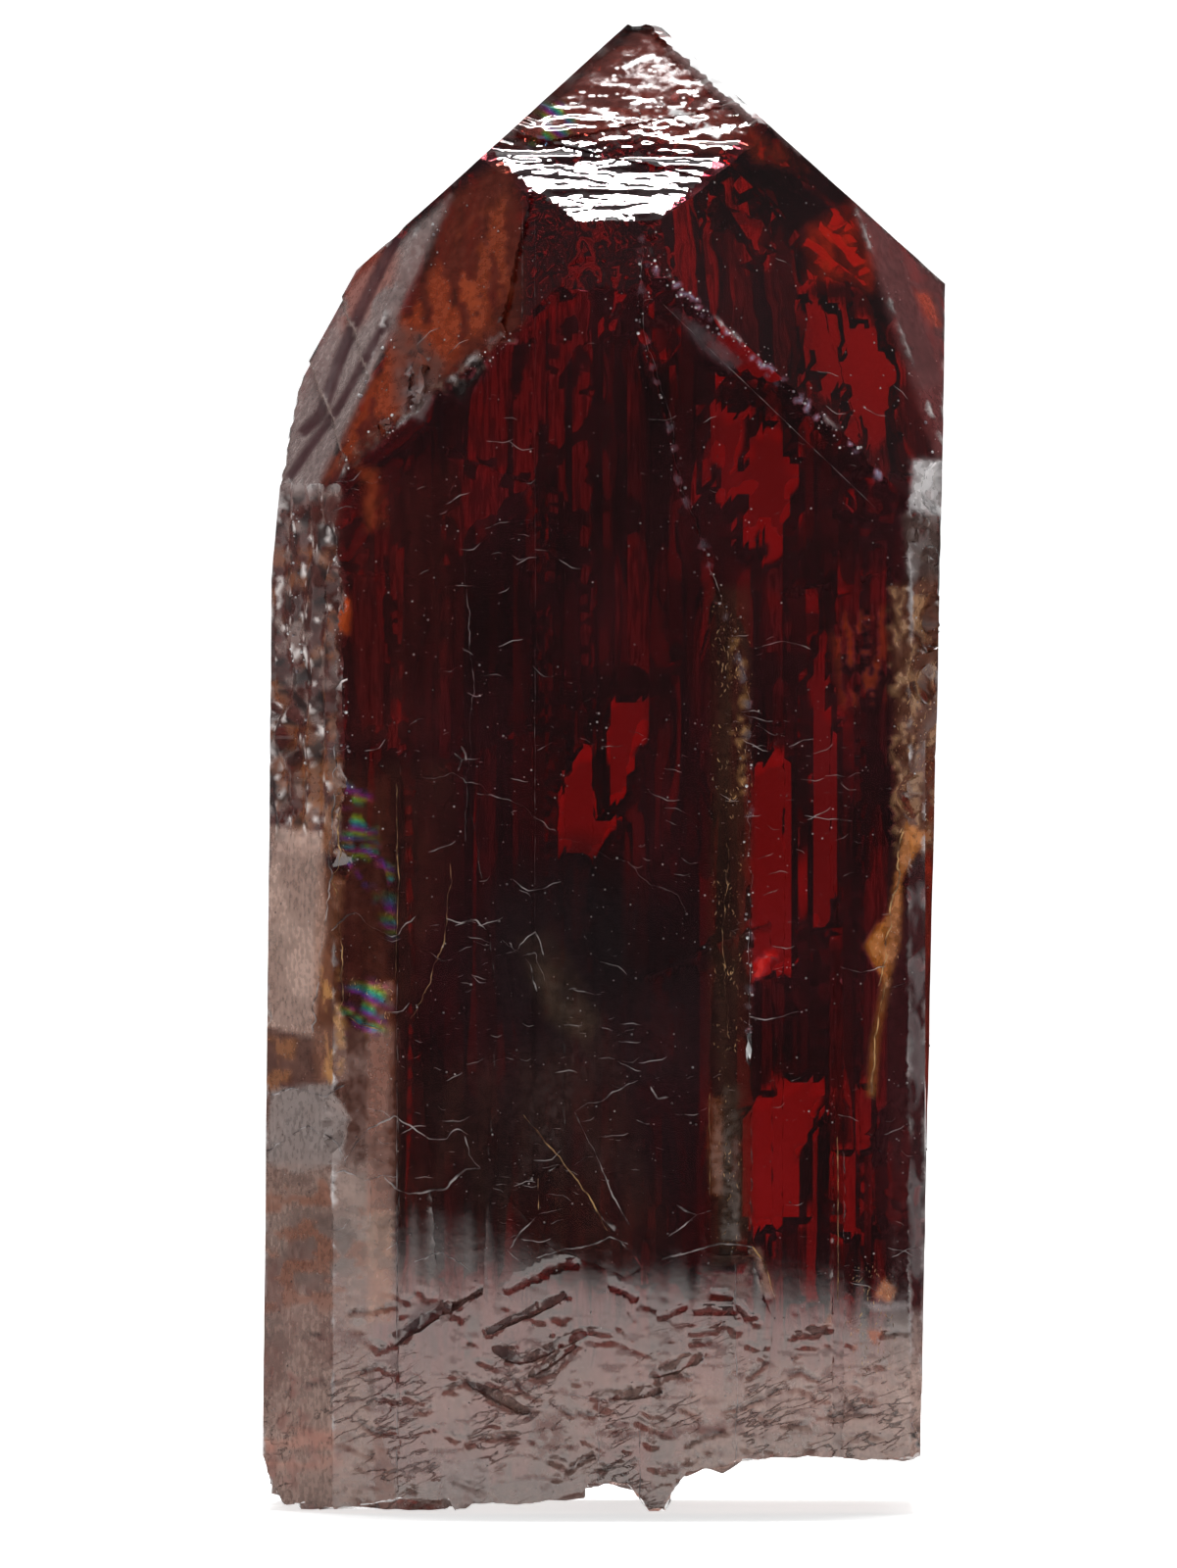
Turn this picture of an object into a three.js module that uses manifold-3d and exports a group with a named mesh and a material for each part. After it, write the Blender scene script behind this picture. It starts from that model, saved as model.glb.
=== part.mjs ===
// One zircon crystal: a see-through red-brown square prism with one pointed end and a broken base.
// It is seen along one of its two level axes. X runs to the right across the broad front face, Y runs
// away from the viewer and Z runs up the long axis. The origin is on the ground, under the middle of
// the crystal's box. All lengths are millimetres.
import * as THREE from "three";
import { mergeVertices } from "three/addons/utils/BufferGeometryUtils.js";
import Module from "manifold-3d";

// The crystal as a whole.
const HEIGHT = 40;
const DEPTH = 13.2;
const AXIAL_RATIO = 0.905; // the long axis of zircon's cell over a level one
const FRONT = -DEPTH / 2;
const BACK = DEPTH / 2;
// How far each side stands from the middle at the foot, and leans out for each millimetre of height.
const RIGHT_FOOT = 8.48;
const RIGHT_LEAN = 0.0222;
const LEFT_FOOT = 9.18;
const LEFT_LEAN = -0.0103;

// The short ridge at the summit.
const SUMMIT_LEFT = 0.75;
const SUMMIT_RIGHT = 1.38;
const SUMMIT_DEEP = -0.18;

const ROOM = 60; // larger than the crystal, so that a cutter reaches past it
const SLIVER = 0.012; // edges shorter than this, left where cuts meet, are closed up
const SAME_POINT = 1e-4; // corners closer than this are one corner

const wasm = await Module();
wasm.setup();

// A closed three.js geometry as a solid that can be joined and cut.
function solidFrom(geometry) {
  const bare = geometry.clone();
  bare.deleteAttribute("normal");
  bare.deleteAttribute("uv");
  const merged = mergeVertices(bare, SAME_POINT);
  const vertProperties = new Float32Array(merged.attributes.position.array);
  const triVerts = new Uint32Array(merged.index.array);
  return new wasm.Manifold(new wasm.Mesh({ numProp: 3, vertProperties, triVerts }));
}

// A solid as a three.js geometry with flat faces.
function geometryFrom(solid) {
  const mesh = solid.getMesh();
  const geometry = new THREE.BufferGeometry();
  geometry.setAttribute("position", new THREE.BufferAttribute(mesh.vertProperties, 3));
  geometry.setIndex(new THREE.BufferAttribute(mesh.triVerts, 1));
  const flat = geometry.toNonIndexed();
  flat.computeVertexNormals();
  return flat;
}

// The outward normal of the face with Miller indices h, k and l.
function faceNormal([h, k, l]) {
  return new THREE.Vector3(h, k, l / AXIAL_RATIO).normalize();
}

// A block whose lower side lies on a face, so that it cuts off all that lies outside the face.
function outside(normal, through) {
  const block = new THREE.BoxGeometry(ROOM * 2, ROOM * 2, ROOM);
  block.translate(0, 0, ROOM / 2);
  block.applyQuaternion(new THREE.Quaternion().setFromUnitVectors(new THREE.Vector3(0, 0, 1), normal));
  block.translate(...through);
  return solidFrom(block);
}

// A step in a face: beyond the line that runs through the point of the face nearest to at, on the side
// that outwards points to, the face lies lower by drop.
function stepCutter(face, at, outwards, drop) {
  const normal = faceNormal(face.indices);
  const start = new THREE.Vector3(...at);
  start.addScaledVector(normal, normal.dot(new THREE.Vector3(...face.through).sub(start)));
  const side = outwards.clone().addScaledVector(normal, -outwards.dot(normal)).normalize();
  const along = new THREE.Vector3().crossVectors(normal, side);
  const block = new THREE.BoxGeometry(ROOM, ROOM * 2, ROOM);
  block.translate(ROOM / 2, 0, ROOM / 2 - drop);
  block.applyMatrix4(new THREE.Matrix4().makeBasis(side, along, normal));
  block.translate(start.x, start.y, start.z);
  return solidFrom(block);
}

// The growth faces, each by its indices and one point on it. A face that grew or wore a little off
// its ideal slope has indices that aren't whole.
const PRISM_FACES = [
  { indices: [0, -1, 0], through: [0, FRONT, 0] },
  { indices: [0.012, 1, 0], through: [0, BACK - 0.08, 0] },
  { indices: [1, 0, -RIGHT_LEAN * AXIAL_RATIO], through: [RIGHT_FOOT, 0, 0] },
  { indices: [-1, 0, -LEFT_LEAN * AXIAL_RATIO], through: [-LEFT_FOOT, 0, 0] },
  { indices: [-2, -1, 0], through: [-7.2, FRONT, 0] },
  { indices: [1, -1, 0], through: [8.12, FRONT, 0] },
  { indices: [1, 1, 0], through: [7.3, BACK, 0] },
  { indices: [-1, 1, 0], through: [-7.7, BACK, 0] },
];

const SUMMIT_FACES = {
  front: { indices: [0, -1, 1], through: [0, SUMMIT_DEEP, HEIGHT] },
  back: { indices: [0, 1, 1], through: [0, SUMMIT_DEEP, HEIGHT] },
  right: { indices: [1, 0, 1], through: [SUMMIT_RIGHT, 0, HEIGHT] },
  left: { indices: [-1, 0, 1], through: [SUMMIT_LEFT, 0, HEIGHT] },
};

const STEEP_FACES = {
  front: { indices: [0, -2.5, 1], through: [0, FRONT, 32.9] },
  frontRight: { indices: [1, -2, 1], through: [1.35, FRONT, 33.3] },
  rightFront: { indices: [2, -1, 1], through: [6.66, -2.9, 35.19] },
  frontLeft: { indices: [-1, -2, 1], through: [-4.64, FRONT, 29.94] },
  leftFront: { indices: [-2, -1, 1], through: [-7.55, -6.43, 27.6] },
  backRight: { indices: [1, 2, 1], through: [1.35, BACK, 32.9] },
  rightBack: { indices: [2, 1, 1], through: [6.66, 2.46, 35.19] },
  backLeft: { indices: [-1, 2, 1], through: [-4.6, BACK, 31] },
  leftBack: { indices: [-2, 1, 1], through: [-6.74, -1.85, 33.07] },
};

// The rounding of the left shoulder, from the point's faces down into the prism.
const SHOULDER_FACES = [
  { indices: [-3, 0, 1], through: [-8.0, 0, 30.7] },
  { indices: [-6.3, 0, 1], through: [-8.33, 0, 29.6] },
  { indices: [-12, 0, 1], through: [-8.72, 0, 27.2] },
  { indices: [-6, -3.4, 1], through: [-7.5, FRONT, 26.2] },
];

// A thin worn strip along the edge between the front and the right face of the summit.
const SUMMIT_STRIP = { normal: new THREE.Vector3(0.335, -0.335, 0.741).normalize(), wear: 0.13 };

// The ideal crystal: a tall block with all that lies outside its faces cut away.
function growthForm() {
  let crystal = solidFrom(new THREE.BoxGeometry(ROOM, ROOM, HEIGHT + 1).translate(0, 0, HEIGHT / 2 - 0.5));
  const point = [...Object.values(SUMMIT_FACES), ...Object.values(STEEP_FACES)];
  for (const face of [...PRISM_FACES, ...point, ...SHOULDER_FACES]) {
    crystal = crystal.subtract(outside(faceNormal(face.indices), face.through));
  }
  const edgeTop = new THREE.Vector3(SUMMIT_RIGHT, SUMMIT_DEEP, HEIGHT);
  edgeTop.addScaledVector(SUMMIT_STRIP.normal, -SUMMIT_STRIP.wear);
  return crystal.subtract(outside(SUMMIT_STRIP.normal, edgeTop.toArray()));
}

// Growth steps on the faces of the point. Each has its face, a point on the step's line, the way in
// which the lower side lies, and the drop.
const POINT_STEPS = [
  { face: STEEP_FACES.leftFront, at: [-6.98, -4.6, 31.3], outwards: [-0.9, 0.1, -0.45], drop: 0.12 },
  { face: STEEP_FACES.leftFront, at: [-7.5, -5.1, 29.2], outwards: [-0.86, 0.1, -0.5], drop: 0.26 },
  { face: SUMMIT_FACES.front, at: [1.6, -2.6, 37.3], outwards: [0.25, -0.6, -0.6], drop: 0.05 },
  { face: SUMMIT_FACES.front, at: [0, -3.5, 36.2], outwards: [-0.3, -0.6, -0.6], drop: 0.1 },
  { face: STEEP_FACES.frontRight, at: [6.3, -5.4, 31.5], outwards: [1, 0.5, 0.1], drop: 0.07 },
  { face: STEEP_FACES.frontLeft, at: [-2.15, -5.6, 33.5], outwards: [1, -0.5, 0], drop: 0.08 },
  { face: STEEP_FACES.rightBack, at: [7.6, 3.4, 32], outwards: [0.3, 0.9, -0.4], drop: 0.12 },
  { face: STEEP_FACES.backRight, at: [2.4, 5.2, 34.5], outwards: [-0.4, 0.6, -0.5], drop: 0.15 },
  { face: STEEP_FACES.backLeft, at: [-2.6, 5.2, 34.2], outwards: [-0.6, 0.5, -0.3], drop: 0.12 },
  { face: SUMMIT_FACES.back, at: [0.4, 2.2, 37.4], outwards: [0.5, 0.6, -0.6], drop: 0.08 },
];

function withPointSteps(crystal) {
  return POINT_STEPS.reduce((form, { face, at, outwards, drop }) => {
    return form.subtract(stepCutter(face, at, new THREE.Vector3(...outwards), drop));
  }, crystal);
}

// The line across the front face where two halves that grew side by side meet, from the top down,
// as X and Z.
const SEAM = [
  [1.01, 36],
  [1.01, 31.9],
  [1.77, 29.2],
  [2.1, 27.4],
  [2.62, 26.2],
  [3.27, 24.1],
  [3.8, 22.2],
  [3.9, 12.7],
  [3.9, 7.2],
  [4.6, 5.2],
  [4.35, 2.6],
  [4.5, -2],
];

// Panels of the prism faces that lie a little deeper than the rest. Each has its outline as seen on
// the face, X and Z on the front and back, Y and Z on the sides, and its depth.
const FRONT_PANELS = [
  { depth: 0.14, outline: [...SEAM, [12, -2], [12, 36]] },
  { depth: 0.12, outline: [[-12, -2], [-5.55, -2], [-5.55, 15.2], [-6.1, 18], [-6.4, 24], [-12, 25]] },
  { depth: 0.07, outline: [[-4.3, 5.2], [-3.3, 5.9], [-2.9, 14], [-4.1, 22.5], [-4, 27.5], [-5.4, 20]] },
  { depth: 0.06, outline: [[-1.85, 9], [-1.09, 9.5], [-1.09, 33.5], [-1.85, 33.3]] },
  { depth: 0.22, outline: [[2.8, 7], [3.9, 7], [3.9, 12], [3.85, 22], [3.3, 24.3], [2.9, 24.4], [3, 16]] },
  { depth: 0.26, outline: [[6.2, -2], [6.35, -2], [6.4, 10], [6.25, 17]] },
  { depth: 0.07, outline: [[-2.5, 8.5], [-1.2, 9.2], [0.6, 7], [0.9, 6.6], [0.6, 6.4], [-1.4, 7.2]] },
];

const BACK_PANELS = [
  { depth: 0.3, outline: [[-12, -2], [-5.2, -2], [-5.2, 19], [-5.9, 25], [-12, 25]] },
  { depth: 0.2, outline: [[-1.4, -2], [-0.4, -2], [-0.4, 33], [-1.4, 33]] },
  { depth: 0.35, outline: [[1.1, 6], [4.5, 6.8], [4.4, 15.6], [1.3, 14.2]] },
  { depth: 0.3, outline: [[-4.4, 20], [-1.75, 21], [-1.9, 27.4], [-4.1, 28.3]] },
  { depth: 0.25, outline: [[4.9, -2], [12, -2], [12, 26], [4.9, 24.5]] },
  { depth: 0.4, outline: [[6.2, 3], [6.9, 3], [6.9, 31], [6.2, 31]] },
];

const SIDE_PANELS = [
  { depth: 0.1, outline: [[-12, -2], [-3.4, -2], [-3.4, 20], [-12, 22]] },
  { depth: 0.16, outline: [[0.6, -2], [1.5, -2], [1.5, 30], [0.6, 30]] },
  { depth: 0.2, outline: [[3.7, -2], [12, -2], [12, 24], [3.7, 26]] },
];
const SIDE_PANEL_LEVEL = 12; // the height at which a side panel has its depth, because the sides lean

// A flat plate of an outline, in the XZ plane, from Y = 0 to Y = thickness.
function plate(outline, thickness) {
  const shape = new THREE.Shape(outline.map(([across, up]) => new THREE.Vector2(across, up)));
  const geometry = new THREE.ExtrudeGeometry(shape, { depth: thickness, bevelEnabled: false });
  return geometry.rotateX(Math.PI / 2).translate(0, thickness, 0);
}

// The cutter of a panel on the face that stands at a distance from the long axis, turned about it.
function panelCutter({ outline, depth }, turn, distance) {
  const geometry = plate(outline, ROOM).translate(0, -ROOM - distance + depth, 0);
  return solidFrom(geometry.rotateZ(turn));
}

function mirrored(panel) {
  return { ...panel, outline: panel.outline.map(([across, up]) => [-across, up]) };
}

function withPanels(crystal) {
  const right = RIGHT_FOOT + RIGHT_LEAN * SIDE_PANEL_LEVEL;
  const left = LEFT_FOOT + LEFT_LEAN * SIDE_PANEL_LEVEL;
  const cutters = [
    ...FRONT_PANELS.map((panel) => panelCutter(panel, 0, -FRONT)),
    ...BACK_PANELS.map((panel) => panelCutter(mirrored(panel), Math.PI, BACK)),
    ...SIDE_PANELS.map((panel) => panelCutter(panel, Math.PI / 2, right)),
    ...SIDE_PANELS.map((panel) => panelCutter(mirrored(panel), -Math.PI / 2, left)),
  ];
  return cutters.reduce((form, cutter) => form.subtract(cutter), crystal);
}

// Shell-shaped chips along the worn edges. Each has its centre, its three radii and a turn about Y.
const CHIPS = [
  { at: [-8.55, -6.3, 27.6], radii: [0.9, 0.9, 1.3], turn: 0.3 },
  { at: [-7.75, -6.9, 26.2], radii: [0.7, 0.55, 0.9], turn: -0.4 },
  { at: [-8.75, -5.7, 25.4], radii: [0.75, 1, 0.9], turn: 0.2 },
  { at: [-7.7, -7.1, 24.2], radii: [0.9, 0.75, 1.2], turn: 0.5 },
  { at: [-8.9, -5.6, 23.3], radii: [0.7, 1.1, 1.1], turn: -0.2 },
  { at: [-7.5, -7.1, 22.2], radii: [0.6, 0.7, 1], turn: 0.2 },
  { at: [-8.7, -6.1, 20.9], radii: [0.85, 0.9, 1.4], turn: -0.3 },
  { at: [-7.4, -7.1, 19.6], radii: [0.8, 0.75, 0.9], turn: 0.4 },
  { at: [-8.3, -6.4, 18.3], radii: [0.7, 0.7, 0.9], turn: 0 },
  { at: [-7.2, -7.3, 17.2], radii: [0.6, 0.9, 1.6], turn: 0.15 },
  { at: [-8.1, -6.9, 10.4], radii: [1.3, 1.1, 1.1], turn: 0.1 },
  { at: [-9.6, -3.6, 13.3], radii: [0.7, 1.6, 0.7], turn: 0 },
  { at: [-9.5, -4.2, 4.9], radii: [0.6, 1.3, 0.5], turn: 0.2 },
  { at: [9.35, -6.0, 27.5], radii: [0.8, 0.9, 0.85], turn: 0.5 },
  { at: [8.75, -6.75, 26.2], radii: [0.6, 0.6, 0.7], turn: 0 },
  { at: [9.0, -6.2, 23.9], radii: [0.6, 0.8, 0.9], turn: 0.3 },
  { at: [8.8, -6.4, 22.3], radii: [0.55, 0.65, 0.8], turn: -0.3 },
  { at: [9.25, -5.8, 20.6], radii: [0.6, 0.8, 0.6], turn: 0 },
  { at: [8.6, -6.9, 19.2], radii: [0.8, 0.8, 0.8], turn: 0.6 },
  { at: [8.3, -7.1, 17.2], radii: [0.6, 0.7, 1.2], turn: 0.1 },
  { at: [8.9, -5.9, 2.6], radii: [0.6, 0.9, 0.9], turn: 0.4 },
  { at: [-6.3, -7.15, 29.3], radii: [0.9, 0.75, 0.35], turn: 0.7 },
  { at: [-5.05, -6.95, 30.25], radii: [0.45, 0.75, 0.8], turn: 0.2 },
  { at: [-2.9, -7.3, 32.0], radii: [0.7, 0.85, 0.35], turn: 0.7 },
  { at: [-1.9, -6.0, 36.4], radii: [0.5, 0.5, 0.5], turn: 0 },
  { at: [7.4, 6.9, 27.2], radii: [1.3, 0.9, 1.6], turn: 0.3 },
  { at: [-8.1, 6.3, 22.0], radii: [1.1, 1, 2.3], turn: -0.1 },
  { at: [-7.7, 6.9, 11.6], radii: [1, 0.9, 1.5], turn: 0.2 },
  { at: [8.0, 6.6, 9.0], radii: [0.9, 0.9, 2.1], turn: 0 },
  { at: [1.1, 7.2, 31.6], radii: [1.5, 0.9, 0.7], turn: 0.5 },
];

// Short etched grooves low on the front face, each from its left end to its right end in X and Z.
const GROOVES = [
  { from: [-6.08, 4.36], to: [-4.06, 5.62], width: 0.13 },
  { from: [-3.14, 4.86], to: [-0.96, 5.88], width: 0.1 },
  { from: [-2.93, 4.44], to: [-2.2, 4.05], width: 0.12 },
  { from: [-2.3, 4.05], to: [-0.43, 4.86], width: 0.12 },
  { from: [-2.01, 3.7], to: [-0.7, 4.54], width: 0.1 },
  { from: [-3.64, 3.55], to: [-2.01, 2.71], width: 0.12 },
  { from: [1.22, 3.68], to: [2.67, 4.2], width: 0.11 },
  { from: [0.25, 3.1], to: [1.55, 3.32], width: 0.11 },
  { from: [5.87, 2.76], to: [7.13, 2.86], width: 0.12 },
  { from: [5.08, 4.81], to: [6.13, 4.99], width: 0.09 },
];
const GROOVE_DEPTH = 0.13;
const GROOVE_LIFT = 0.03; // how far a groove's middle stays behind the face

// A ball of unit radius with flat faces, turned so that none of its edges lies level or upright.
function facetedBall(detail) {
  return new THREE.IcosahedronGeometry(1, detail).rotateX(0.4).rotateZ(0.9);
}

function chipCutter({ at, radii, turn }) {
  const ball = facetedBall(2);
  ball.scale(...radii);
  ball.rotateY(turn);
  ball.translate(...at);
  return solidFrom(ball);
}

function grooveCutter({ from, to, width }) {
  const run = new THREE.Vector2(to[0] - from[0], to[1] - from[1]);
  const lens = facetedBall(1);
  lens.scale(run.length() / 2, GROOVE_DEPTH, width);
  lens.rotateY(-run.angle());
  lens.translate((from[0] + to[0]) / 2, FRONT + GROOVE_LIFT, (from[1] + to[1]) / 2);
  return solidFrom(lens);
}

function withWear(crystal) {
  const cutters = [...CHIPS.map(chipCutter), ...GROOVES.map(grooveCutter)];
  return cutters.reduce((form, cutter) => form.subtract(cutter), crystal);
}

// The rim of the broken base as seen from the front, X and height, with its teeth.
const RIM = [
  [-9.8, 2.6],
  [-9.15, 1.6],
  [-8.94, 0.42],
  [-8.65, 0.18],
  [-8.0, 0.05],
  [-7.1, 0],
  [-6.84, 0.16],
  [-5.6, 0.32],
  [-4.22, 0.3],
  [-4.0, 0.05],
  [-3.7, 0.02],
  [-3.48, 0.21],
  [-2.3, 0.22],
  [-1.2, 0.36],
  [-0.54, 0.45],
  [-0.38, 0.76],
  [0.64, 0.72],
  [1.2, 0.1],
  [1.7, 0],
  [1.95, 0.7],
  [2.3, 1.08],
  [3.3, 1.21],
  [3.66, 1.38],
  [5.3, 1.48],
  [6.95, 1.45],
  [8.3, 1.42],
  [9.8, 2.2],
];

// The rim points at which a tooth runs back through the base as a ridge, each with its lift.
const RIDGE_LIFTS = { 17: 0.05, 18: -0.1 };
const RIDGE_WAVE = 0.25;

// The break's relief behind the rim, in waves and in terraces. The rates are turns in radians for each
// millimetre across and inward and for each point of the rim.
const BREAK_WAVES = [
  { height: 0.22, deep: 1.7, across: 0, point: 2.1 },
  { height: 0.15, deep: 3.1, across: -1.3, point: 0 },
];
const TERRACE = { height: 0.3, deep: 0.8, across: 0.45 };
const BREAK_ROWS = 14;
const BREAK_MARGIN = 0.2; // how far the break's block reaches past the front and the back
const RIM_WIDTH = 1.2; // the relief grows to its full height over this distance behind the rim
const RIM_SWAY = 0.12; // how far the columns of the break stray sideways
const LEAST_GAP = 0.05; // what stays between the break and the ground beside the resting places

// The worn flat that the crystal stands on, X and Y.
const REST_THICKNESS = 1.4;
const REST_OUTLINE = [
  [-8.2, -2.6],
  [-6.4, -3.9],
  [-4.2, -3.3],
  [-3.5, -1.2],
  [-3.9, 1.9],
  [-3.3, 3.8],
  [-5.1, 4.9],
  [-7.6, 4.2],
  [-8.3, 1.2],
];

// How far the break lies above the ground behind a point of the rim.
function breakHeight(point, across, deep) {
  if (point in RIDGE_LIFTS) {
    return Math.max(0, RIDGE_WAVE * Math.sin(2.3 * deep + 0.6) + RIDGE_LIFTS[point]);
  }
  const rim = RIM[point][1];
  const waves = BREAK_WAVES.map((wave) => {
    return wave.height * Math.sin(wave.deep * deep + wave.across * across + wave.point * point);
  });
  const steps = Math.round(0.5 + 0.9 * Math.sin(TERRACE.deep * deep + TERRACE.across * across));
  const terrace = TERRACE.height * steps * (rim > 1 ? 1 : 0.5);
  const share = Math.min(1, (deep - FRONT) / RIM_WIDTH);
  return Math.max(LEAST_GAP, rim + share * (waves[0] + waves[1] + terrace));
}

// How far a column of the break strays sideways in a row. Its two ends stay in place.
function breakSway(point, row) {
  if (point === 0 || point === RIM.length - 1) {
    return 0;
  }
  return RIM_SWAY * Math.sin(1.9 * row + 2.7 * point) * Math.min(1, row / 2);
}

// All that the break has taken away below the base, as a block with a stepped top.
function brokenAway() {
  const columns = RIM.length - 1;
  const block = new THREE.BoxGeometry(columns, BREAK_ROWS, 2, columns, BREAK_ROWS, 1);
  const position = block.attributes.position;
  for (let n = 0; n < position.count; n += 1) {
    const point = Math.round(position.getX(n) + columns / 2);
    const row = Math.round(position.getY(n) + BREAK_ROWS / 2);
    const deep = FRONT - BREAK_MARGIN + (row / BREAK_ROWS) * (DEPTH + 2 * BREAK_MARGIN);
    const across = RIM[point][0] + breakSway(point, row);
    const onTop = position.getZ(n) > 0;
    position.setXYZ(n, across, deep, onTop ? breakHeight(point, across, deep) : -ROOM / 2);
  }
  return solidFrom(block);
}

function withBrokenBase(crystal) {
  const shape = new THREE.Shape(REST_OUTLINE.map(([across, deep]) => new THREE.Vector2(across, deep)));
  const rest = new THREE.ExtrudeGeometry(shape, { depth: REST_THICKNESS, bevelEnabled: false });
  const standing = crystal.subtract(brokenAway()).add(solidFrom(rest));
  return standing.subtract(outside(new THREE.Vector3(0, 0, -1), [0, 0, 0]));
}

// Small knobs of crystal that stand out of the worn right edge and the lower edge of the point.
const KNOBS = [
  { at: [8.35, -6.05, 26.6], radii: [0.45, 0.45, 0.35], turn: 0.3 },
  { at: [8.7, -5.75, 25.6], radii: [0.35, 0.45, 0.45], turn: -0.2 },
  { at: [-4.95, -6.15, 30.3], radii: [0.35, 0.42, 0.75], turn: 0.15 },
  { at: [-5.85, -6.25, 29.1], radii: [0.3, 0.32, 0.3], turn: 0.1 },
];

function withKnobs(crystal) {
  return KNOBS.reduce((form, knob) => form.add(chipCutter(knob)), crystal);
}

function crystalSolid() {
  const steps = [withPointSteps, withPanels, withWear, withKnobs, withBrokenBase];
  return steps.reduce((form, step) => step(form), growthForm()).simplify(SLIVER);
}

// A geometry moved so that the origin is on the ground under the middle of its box.
function overOrigin(geometry) {
  geometry.computeBoundingBox();
  const middle = geometry.boundingBox.getCenter(new THREE.Vector3());
  return geometry.translate(-middle.x, -middle.y, -geometry.boundingBox.min.z);
}

const zircon = new THREE.MeshStandardMaterial({ color: 0x5a1a16, roughness: 0.12, metalness: 0 });
const crystal = new THREE.Mesh(overOrigin(geometryFrom(crystalSolid())), zircon);
crystal.name = "zircon_crystal";

const part = new THREE.Group();
part.name = "zircon_crystal_part";
part.add(crystal);

export default part;
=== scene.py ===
"""A zircon crystal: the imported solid, given its etched skin, its cracks and its see-through red body.

Sizes are in millimetres unless a comment says otherwise, and each mesh is made in metres at the end. X runs
to the right across the broad front face, Y runs away from the viewer and Z runs up the long axis. Places on
the front are written as pixels of the photograph, which seen() turns into X and Z.
"""

import logging
import math
from dataclasses import dataclass
from enum import Enum
from statistics import NormalDist

import bpy
import numpy as np
from mathutils import Matrix, Vector, bvhtree, geometry, kdtree


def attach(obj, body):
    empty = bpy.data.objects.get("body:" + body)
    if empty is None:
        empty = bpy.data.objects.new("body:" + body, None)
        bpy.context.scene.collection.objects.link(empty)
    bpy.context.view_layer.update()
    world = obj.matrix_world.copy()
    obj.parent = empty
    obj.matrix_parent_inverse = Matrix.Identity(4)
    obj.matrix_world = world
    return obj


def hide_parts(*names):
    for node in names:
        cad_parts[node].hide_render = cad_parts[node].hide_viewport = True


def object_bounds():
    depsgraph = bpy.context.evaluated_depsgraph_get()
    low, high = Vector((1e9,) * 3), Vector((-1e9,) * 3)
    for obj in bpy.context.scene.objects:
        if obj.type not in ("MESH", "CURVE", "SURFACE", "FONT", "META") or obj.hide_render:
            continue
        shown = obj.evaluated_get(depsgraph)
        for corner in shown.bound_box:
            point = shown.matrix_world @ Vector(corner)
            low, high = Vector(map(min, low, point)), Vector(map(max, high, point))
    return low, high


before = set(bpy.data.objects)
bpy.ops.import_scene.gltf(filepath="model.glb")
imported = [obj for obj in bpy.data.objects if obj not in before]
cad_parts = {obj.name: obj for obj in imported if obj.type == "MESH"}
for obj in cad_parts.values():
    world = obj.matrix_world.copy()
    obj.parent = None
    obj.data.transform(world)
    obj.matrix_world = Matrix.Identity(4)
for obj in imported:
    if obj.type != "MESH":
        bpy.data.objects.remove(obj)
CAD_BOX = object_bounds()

log = logging.getLogger("zircon")

Array = np.ndarray
Object = bpy.types.Object
Socket = bpy.types.NodeSocket
Outline = list[tuple[float, float]]  # the corners of a drawn shape or line
Size = tuple[float, float, float] | float  # along each axis, or one for all

MM = 0.001
NODE = "zircon_crystal"
BODY = "root"

FRONT = -6.6  # Y of the front face
BACK = 6.6  # Y of the back face
HEIGHT = 40.0
SCALE = 38.075  # the photograph's pixels for each millimetre of the front face
FRAME = (1201, 1600)  # the photograph's width and height in pixels
ORIGIN = (616.5, 1545.0)  # the photograph's pixel at X = 0 and Z = 0
IOR = 1.95
SMOOTH_ANGLE = 24.0  # edges that turn more than this stay sharp, in degrees
ROW = 0.866  # the rows of an even triangular grid, as a share of its spacing

FACES_DOWN = -0.35  # a normal whose Z is below this belongs to the base
FACES_UP = 0.2  # one whose Z is above this belongs to the point
FACES_VIEWER = 0.9  # one whose Y is beyond this belongs to the front or the back
FACES_ASIDE = -0.2  # one whose Y is below this belongs to a bevel beside the front


class Side(Enum):
    """Which way a flat face of the crystal looks."""

    FRONT = "front"
    BACK = "back"
    BEVEL = "bevel"
    FLANK = "flank"
    POINT_FRONT = "point front"
    POINT_BACK = "point back"
    BASE = "base"


def side_of(normal: Array) -> Side:
    """Sorts a face by its outward normal.

    Args:
        normal: The outward unit normal.

    Returns:
        The side that the face belongs to.
    """
    if normal[2] < FACES_DOWN:
        return Side.BASE
    if normal[2] > FACES_UP:
        return Side.POINT_FRONT if normal[1] < 0.02 else Side.POINT_BACK
    if abs(normal[1]) > FACES_VIEWER:
        return Side.FRONT if normal[1] < 0 else Side.BACK
    return Side.BEVEL if normal[1] < FACES_ASIDE else Side.FLANK


def is_summit(normals: Array) -> Array:
    """Tells which normals belong to the summit's front face."""
    return (np.abs(normals[..., 0]) < 0.1) & (normals[..., 2] > 0.7) & (normals[..., 1] < 0)


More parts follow.
